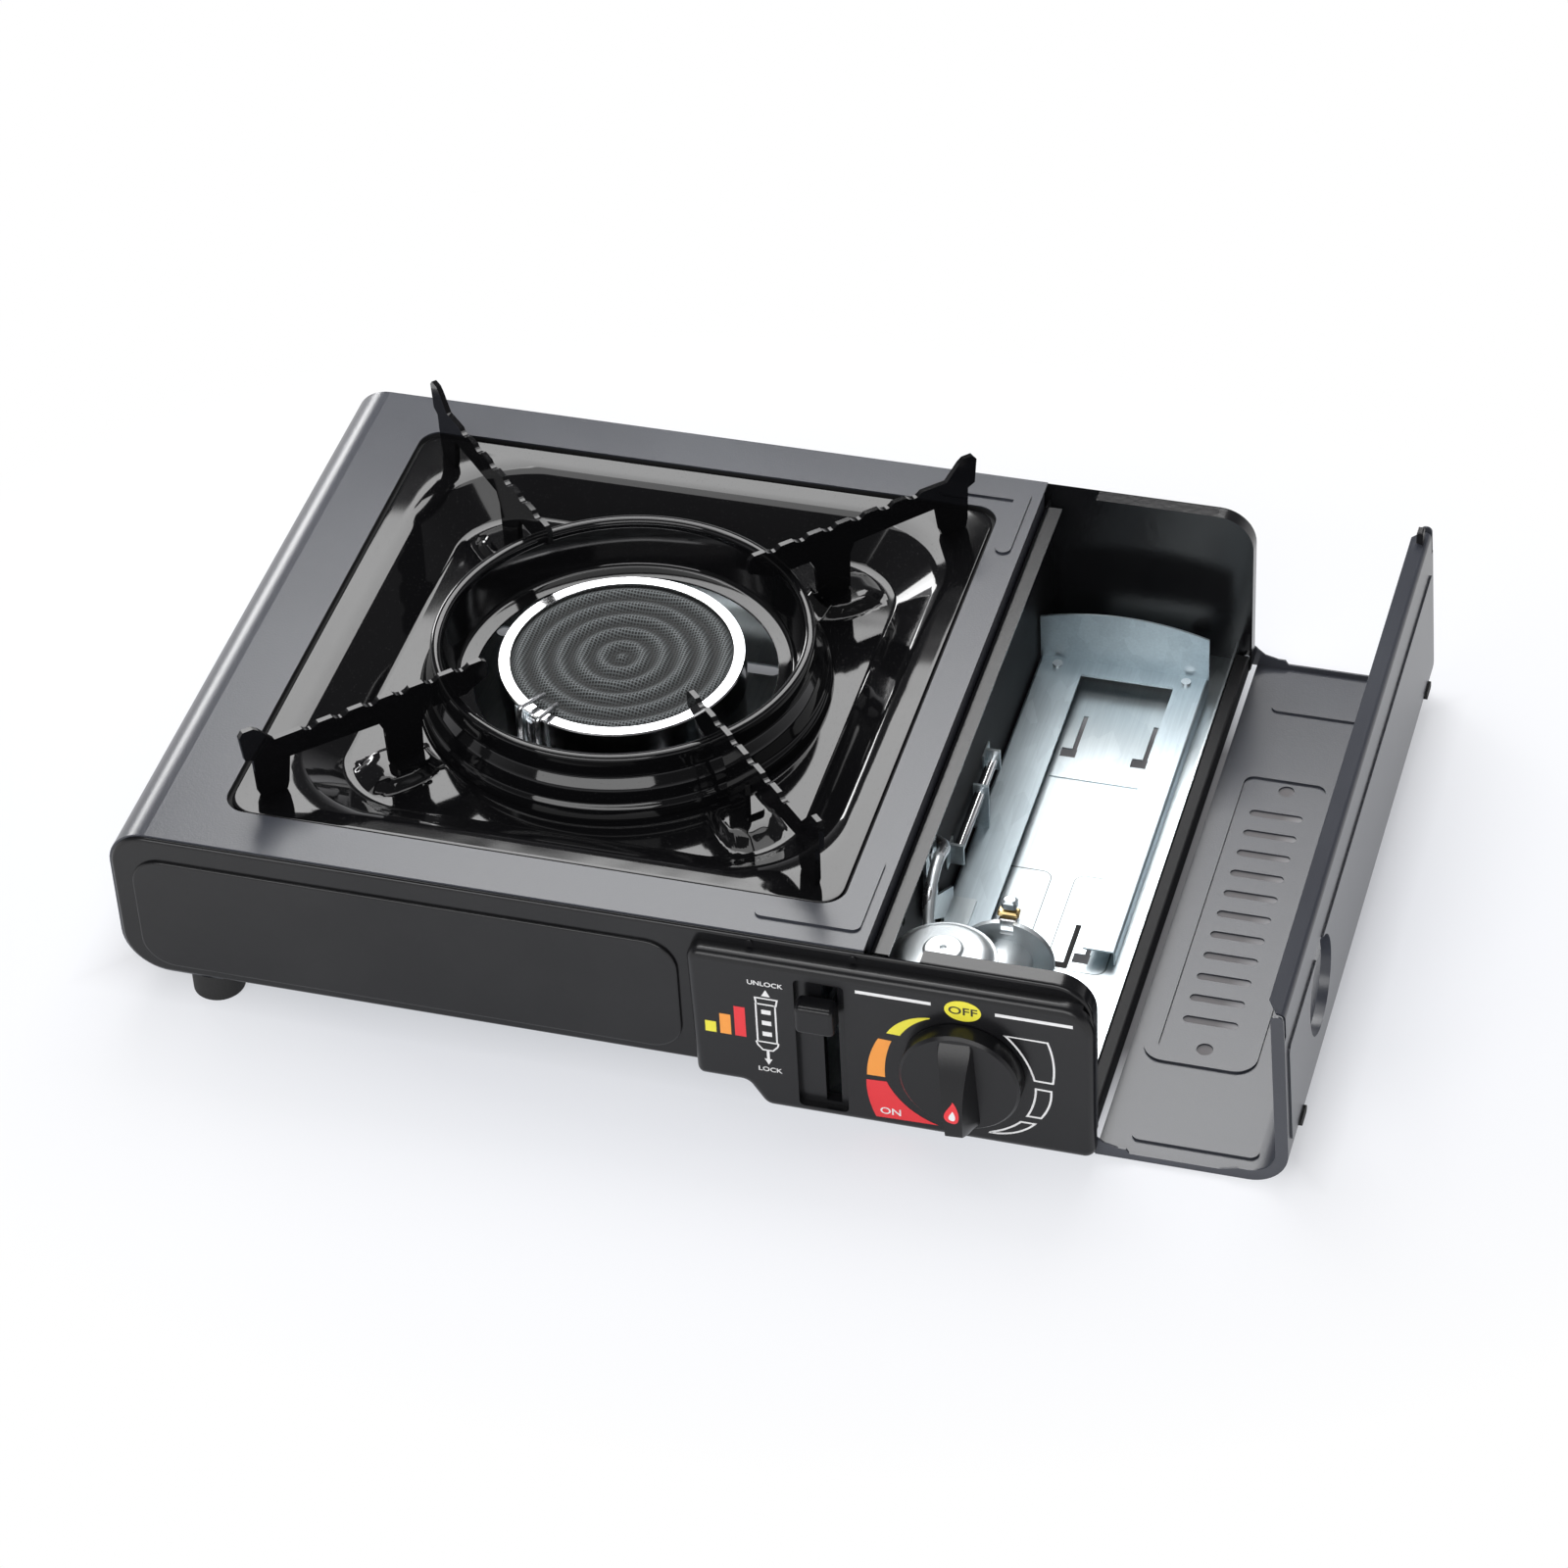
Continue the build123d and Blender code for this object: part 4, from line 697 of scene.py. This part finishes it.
# an inked line round a closed outline: each corner moved in and out along its mitre by half the width
def printLine(outline, width):
    outline = np.asarray(outline, float)
    if outlineArea(outline) < 0:
        outline = outline[::-1]
    ahead = np.roll(outline, -1, 0) - outline
    ahead /= np.linalg.norm(ahead, axis=1)[:, None]
    behind = np.roll(ahead, 1, 0)
    mitre = ahead + behind
    mitre /= np.linalg.norm(mitre, axis=1)[:, None]
    spread = 1 / np.clip(np.sum(mitre * ahead, 1), printing["mitreLimit"], 1)
    side = np.stack([mitre[:, 1], -mitre[:, 0]], 1) * spread[:, None] * width / 2
    count = len(outline)
    y = printing["face"] - printing["lift"]
    rings = []
    for edge in (outline - side, outline + side):
        for depth in (0, printing["thick"]):
            rings.append(np.stack([edge[:, 0] / 1000, np.full(count, y - depth), edge[:, 1] / 1000], 1))
    ring = np.arange(count)
    after = np.roll(ring, -1)
    faces = []
    for low, high in ((1, 3), (3, 2), (2, 0), (0, 1)):
        corners = [ring + low * count, ring + high * count, after + high * count, after + low * count]
        faces.append(np.stack(corners, 1))
    return np.vstack(rings), np.vstack(faces).tolist()


# oval: x + half width cos t, z + half height sin t
def oval(x, z, halfWidth, halfHeight, count=48):
    angle = np.linspace(0, 2 * pi, count, endpoint=False)
    return np.stack([x + halfWidth * np.cos(angle), z + halfHeight * np.sin(angle)], 1)


# upright rectangle between its low left and high right corners
def bar(x0, z0, x1, z1):
    return np.array([(x0, z0), (x1, z0), (x1, z1), (x0, z1)])


# an inked shape, from its points and faces
def addPrint(name, ink, shape):
    addPiece(name, *shape, inks[ink], "body", "panel_plastic")


# everything printed on the panel is placed by x and z in millimetres; each band here is two arcs end to end
heatScale = {
    "yellow": [
        arcThrough((107.8, 47.3), (114.0, 54.4), (123.5, 57.8)),
        arcThrough((123.4, 57.4), (117.0, 53.0), (112.6, 47.1))],
    "orange": [
        arcThrough((104.7, 44.1), (101.6, 36.0), (100.2, 25.9)),
        arcThrough((106.7, 26.0), (107.1, 34.5), (109.5, 43.9))],
    "red": [
        arcThrough((99.9, 23.5), (100.5, 14.5), (102.9, 6.2)),
        arcThrough((125.3, 6.7), (116.2, 11.6), (107.2, 23.9), 20)],
}
for ink, edges in heatScale.items():
    addPrint("heat_scale_" + ink, ink, printFill(np.vstack(edges)))

openSectors = {
    "high": [
        [(150.0, 55.1)],
        arcThrough((164.9, 55.0), (166.9, 45.5), (166.6, 36.0)),
        arcThrough((160.1, 36.1), (156.6, 46.0), (150.3, 54.9))],
    "middle": [
        arcThrough((166.0, 32.1), (165.2, 25.2), (162.2, 18.5)),
        arcThrough((157.3, 18.5), (159.7, 25.2), (160.5, 32.2))],
    "low": [
        arcThrough((160.0, 15.2), (153.0, 9.6), (143.9, 7.6)),
        arcThrough((144.2, 7.9), (150.2, 11.0), (155.0, 15.2))],
}
for label, edges in openSectors.items():
    addPrint("open_sector_" + label, "white", printLine(np.vstack(edges), printing["sectorLine"]))

plainShapes = {
    "line_left": ("white", bar(97.2, 63.9, 124.0, 65.3)),
    "line_right": ("white", bar(146.6, 63.6, 173.8, 65.0)),
    "off_oval": ("yellow", oval(135.2, 63.5, 6.5, 4.6)),
    "arrow_up": ("white", np.array([(63.3, 55.3), (66.5, 55.3), (64.9, 58.4)])),
    "arrow_down": ("white", np.array([(63.2, 25.4), (64.6, 22.6), (66.0, 25.4)])),
    "canister_neck": ("white", bar(64.1, 25.4, 65.1, 29.4)),
    "canister_bar_low": ("white", bar(63.0, 36.4, 66.4, 38.4)),
    "canister_bar_middle": ("white", bar(63.0, 41.6, 66.4, 43.6)),
    "canister_bar_high": ("white", bar(63.0, 46.8, 66.4, 48.8)),
    "level_bar_low": ("yellow", bar(42.2, 34.4, 46.2, 39.4)),
    "level_bar_middle": ("orange", bar(47.6, 34.4, 51.6, 43.8)),
    "level_bar_high": ("red", bar(53.0, 34.4, 57.0, 48.4)),
}
for label, (ink, outline) in plainShapes.items():
    addPrint(label, ink, printFill(outline))

canister = {
    "outline": [
        (60.9, 54.2), (68.9, 54.2), (68.4, 51.4), (68.1, 51.4), (68.1, 33.6), (68.6, 33.2), (68.2, 31.8),
        (66.4, 29.6), (62.8, 29.6), (61.0, 31.8), (60.6, 33.2), (61.1, 33.6), (61.1, 51.4), (61.4, 51.4)],
    "seams": {"top": 51.4, "bottom": 33.4}, "seamEnds": (61.2, 68.0),
}
addPrint("canister_outline", "white", printLine(canister["outline"], printing["canisterLine"]))
for label, z in canister["seams"].items():
    left, right = canister["seamEnds"]
    half = printing["canisterLine"] / 2
    addPrint("canister_seam_" + label, "white", printFill(bar(left, z - half, right, z + half)))

lettering = {"size": 1.0, "bolder": 0.012, "depth": 0.05}
# ink, middle, width and height of each word
words = {
    "OFF": ("black", 135.3, 63.5, 10.2, 3.4),
    "ON": ("white", 108.2, 9.7, 7.4, 3.1),
    "UNLOCK": ("white", 64.9, 61.1, 12.8, 2.1),
    "LOCK": ("white", 65.1, 20.4, 8.6, 2.1),
}


# a word as a thin mesh: centred, scaled to its width and height in millimetres, stood up on the panel's face
# and moved off it by the extra
def printWord(text, ink, x, z, width, height, extra=0.0):
    curve = bpy.data.curves.new("word_" + text, "FONT")
    curve.body = text
    curve.size = lettering["size"]
    curve.offset = lettering["bolder"]
    curve.extrude = lettering["depth"]
    holder = bpy.data.objects.new("word_holder", curve)
    scene.collection.objects.link(holder)
    bpy.context.view_layer.update()
    mesh = bpy.data.meshes.new_from_object(holder.evaluated_get(bpy.context.evaluated_depsgraph_get()))
    bpy.data.objects.remove(holder)
    flat = np.empty(len(mesh.vertices) * 3)
    mesh.vertices.foreach_get("co", flat)
    flat = flat.reshape(-1, 3)
    low, high = flat.min(0), flat.max(0)
    middle = (low + high) / 2
    size = high - low
    across = (flat[:, 0] - middle[0]) / size[0] * width / 1000 + x / 1000
    upward = (flat[:, 1] - middle[1]) / size[1] * height / 1000 + z / 1000
    depth = printing["face"] - printing["lift"] - extra - (flat[:, 2] - low[2]) / size[2] * printing["thick"]
    mesh.vertices.foreach_set("co", np.stack([across, depth, upward], 1).ravel())
    mesh.update()
    mesh.materials.clear()
    mesh.materials.append(inks[ink])
    piece = bpy.data.objects.new("word_" + text.lower(), mesh)
    scene.collection.objects.link(piece)
    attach(piece, "body")


flame = {
    "x": 135.2, "z": 32.2, "halfWidth": 2.9, "halfHeight": 4.3, "taper": 1.3, "full": 1.25,
    "bow": 0.35, "bowTurns": 2.2, "lean": 0.06, "sink": 0.5, "thick": 0.04, "steps": 28, "tip": 0.06,
    "middle": 35.8, "crest": [(-14.0, 160.5), (4.0, 157.5), (20.0, 148.0)], "crestSteps": 60,
}


# flame mark: a drop laid along the crest of the knob's grip as short rows across it; with t from one tip to
# the other, a row lies at cos t and its half width is sin t sin(t / 2)^taper
def printFlame(name, ink, size, lift):
    turn = np.linspace(flame["tip"], pi - flame["tip"], flame["steps"])
    half = flame["halfWidth"] * size * np.sin(turn) * np.sin(turn / 2) ** flame["taper"] * flame["full"]
    z = flame["z"] + flame["halfHeight"] * (size * np.cos(turn) - (1 - size) * flame["sink"])
    bow = flame["bow"] * size * np.sin(turn * flame["bowTurns"])
    middle = flame["x"] + bow - (z - flame["middle"]) * flame["lean"]
    crest = arcThrough(*flame["crest"], flame["crestSteps"])
    out = np.interp(z - flame["middle"], crest[:, 0], crest[:, 1]) + lift
    back = out - flame["thick"]
    sides = [(middle - half, out), (middle + half, out), (middle + half, back), (middle - half, back)]
    grid = np.stack([np.stack([x, -y, z], -1) for x, y in sides], 1)
    points = grid.reshape(-1, 3) / 1000
    faces = gridFaces(*grid.shape[:2])[:-4].tolist()
    last = len(points)
    faces += [[0, 1, 2, 3], [last - 1, last - 2, last - 3, last - 4]]
    addPiece(name, points, faces, inks[ink], "knob", "knob_plastic")


printFlame("flame_mark", "red", 1.0, 0.10)
printFlame("flame_heart", "white", 0.45, 0.16)

for text, (ink, x, z, width, height) in words.items():
    onInk = text in ("OFF", "ON")
    printWord(text, ink, x, z, width, height, printing["thick"] if onInk else 0.0)
print("markings printed")

studio = {
    "floorHalf": 4.0, "floorColour": (0.86, 0.86, 0.88), "white": (1.0, 1.0, 1.0),
    "middle": 0.03, "stretch": 1.35, "near": 0.16, "far": 0.31,
    "nearShare": 0.62, "farShare": 1.0, "paintedNearShade": (0.93, 0.95, 1.0),
    "paintedShadowMiddle": (0.029, 0.0), "paintedShadowHalf": (0.206, 0.110), "paintedShadowEdge": 0.028, "paintedShadowShare": 0.10,
    "paintedShadowColour": (0.10, 0.09, 0.09),
    "overhead": 0.12, "horizon": 1.0, "fall": (0.02, 0.42), "blue": 1.03,
}


# pale floor: white to the camera and in reflections, a little less near the stove with a painted bluish shade
# there, and a painted shadow under the stove and its open lid
def makeFloor():
    half = studio["floorHalf"]
    points = [(-half, -half, 0), (half, -half, 0), (half, half, 0), (-half, half, 0)]
    mesh = bpy.data.meshes.new("floor")
    mesh.from_pydata(points, [], [(0, 1, 2, 3)])
    floor = bpy.data.objects.new("floor", mesh)
    scene.collection.objects.link(floor)
    f = Finish("floorPaper")
    x, y, z = f.axes()
    away = (((x - studio["middle"]) / studio["stretch"]) ** 2.0 + y ** 2.0).root()
    distant = away.rise(studio["near"], studio["far"])
    rays = f.add("ShaderNodeLightPath").socket.node.outputs
    kinds = ("Is Camera Ray", "Is Glossy Ray", "Is Transmission Ray")
    camera, glossy, through = (Wire(f, rays[kind]) for kind in kinds)
    seen = camera.most(glossy).most(through)
    share = studio["nearShare"] + distant * (studio["farShare"] - studio["nearShare"])
    # painted shadow: dark paper and little emission under the stove and where the open lid lies, soft at its
    # edge
    besideX = abs(x - studio["paintedShadowMiddle"][0]) - studio["paintedShadowHalf"][0]
    besideY = abs(y - studio["paintedShadowMiddle"][1]) - studio["paintedShadowHalf"][1]
    clear = besideX.most(besideY).rise(-studio["paintedShadowEdge"], studio["paintedShadowEdge"])
    share = studio["paintedShadowShare"] + clear * (share - studio["paintedShadowShare"])
    paperWithPaintedShadow = f.mix(clear, studio["paintedShadowColour"], studio["floorColour"])
    matt = f.add("ShaderNodeBsdfDiffuse", inputs={"Color": paperWithPaintedShadow})
    # near the stove the white is tinted a little darker and bluer, painted shade round the stove
    tint = f.mix(distant, studio["paintedNearShade"], studio["white"])
    bright = f.add("ShaderNodeEmission", inputs={"Color": tint, "Strength": 1.0})
    f.show(f.add("ShaderNodeMixShader", inputs={0: seen * share, 1: matt, 2: bright}))
    mesh.materials.append(f.material)


# surroundings: white at and below the horizon, dark overhead, and white behind everything for the camera
def makeWorld():
    world = bpy.data.worlds.new("studioWorld")
    world.use_nodes = True
    scene.world = world
    f = Finish("studioWorld", world.node_tree)
    direction = f.add("ShaderNodeTexCoord", output="Generated")
    z = f.axes(direction)[2]
    level = studio["horizon"] + z.rise(*studio["fall"]) * (studio["overhead"] - studio["horizon"])
    seen = f.add("ShaderNodeLightPath", output="Is Camera Ray")
    shade = f.add("ShaderNodeCombineColor", inputs={0: level, 1: level, 2: level * studio["blue"]})
    colour = f.mix(seen, shade, studio["white"])
    background = f.add("ShaderNodeBackground", inputs={"Color": colour, "Strength": 1.0})
    f.show(background, "ShaderNodeOutputWorld")


lamps = {
    "softBox": {
        "place": (-0.12, 0.62, 0.92), "aim": (0.0, 0.0, 0.05), "size": (0.86, 0.60), "radiance": 6.2},
    "overheadBox": {
        "place": (-0.20, 0.15, 1.35), "aim": (-0.20, 0.15, 0.05), "size": (1.20, 0.60), "radiance": 2.6},
    "sideBox": {
        "place": (-1.63, 1.56, 0.64), "aim": (-0.18, 0.0, 0.07), "size": (0.60, 0.50), "radiance": 12.0},
    "frontBox": {
        "place": (-0.10, -1.75, 1.15), "aim": (-0.05, 0.0, 0.03), "size": (2.20, 0.80), "radiance": 4.4},
}


# a soft box: its power is pi x radiance x area, so a change of its size keeps its brightness
def makeLamp(name, lamp):
    light = bpy.data.lights.new(name, "AREA")
    light.shape = "RECTANGLE"
    light.size, light.size_y = lamp["size"]
    light.energy = pi * lamp["radiance"] * lamp["size"][0] * lamp["size"][1]
    holder = bpy.data.objects.new(name, light)
    holder.location = lamp["place"]
    away = Vector(lamp["place"]) - Vector(lamp["aim"])
    holder.rotation_euler = away.to_track_quat("Z", "Y").to_euler()
    holder.visible_camera = False
    scene.collection.objects.link(holder)


makeFloor()
makeWorld()
for name, lamp in lamps.items():
    makeLamp(name, lamp)

view = {
    "place": (0.4819, -1.3901, 1.2932), "azimuth": 17.7, "elevation": 40.96, "roll": -3.12,
    "lens": 120.2, "film": 36.0, "shift": (-0.01355, 0.00094),
}


# camera: looks back along its azimuth and elevation, then rolls about its own axis
def makeCamera():
    azimuth, elevation, roll = (radians(view[key]) for key in ("azimuth", "elevation", "roll"))
    back = Vector((sin(azimuth) * cos(elevation), -cos(azimuth) * cos(elevation), sin(elevation)))
    right = Vector((cos(azimuth), sin(azimuth), 0))
    up = back.cross(right)
    turnedRight = right * cos(roll) + up * sin(roll)
    turnedUp = up * cos(roll) - right * sin(roll)
    camera = bpy.data.cameras.new("mainCamera")
    camera.lens = view["lens"]
    camera.sensor_width = view["film"]
    camera.shift_x, camera.shift_y = view["shift"]
    holder = bpy.data.objects.new("camera", camera)
    axes = Matrix((turnedRight, turnedUp, back)).transposed()
    holder.matrix_world = Matrix.Translation(view["place"]) @ axes.to_4x4()
    scene.collection.objects.link(holder)
    scene.camera = holder


makeCamera()
scene.view_settings.view_transform = "Standard"
print("studio set")
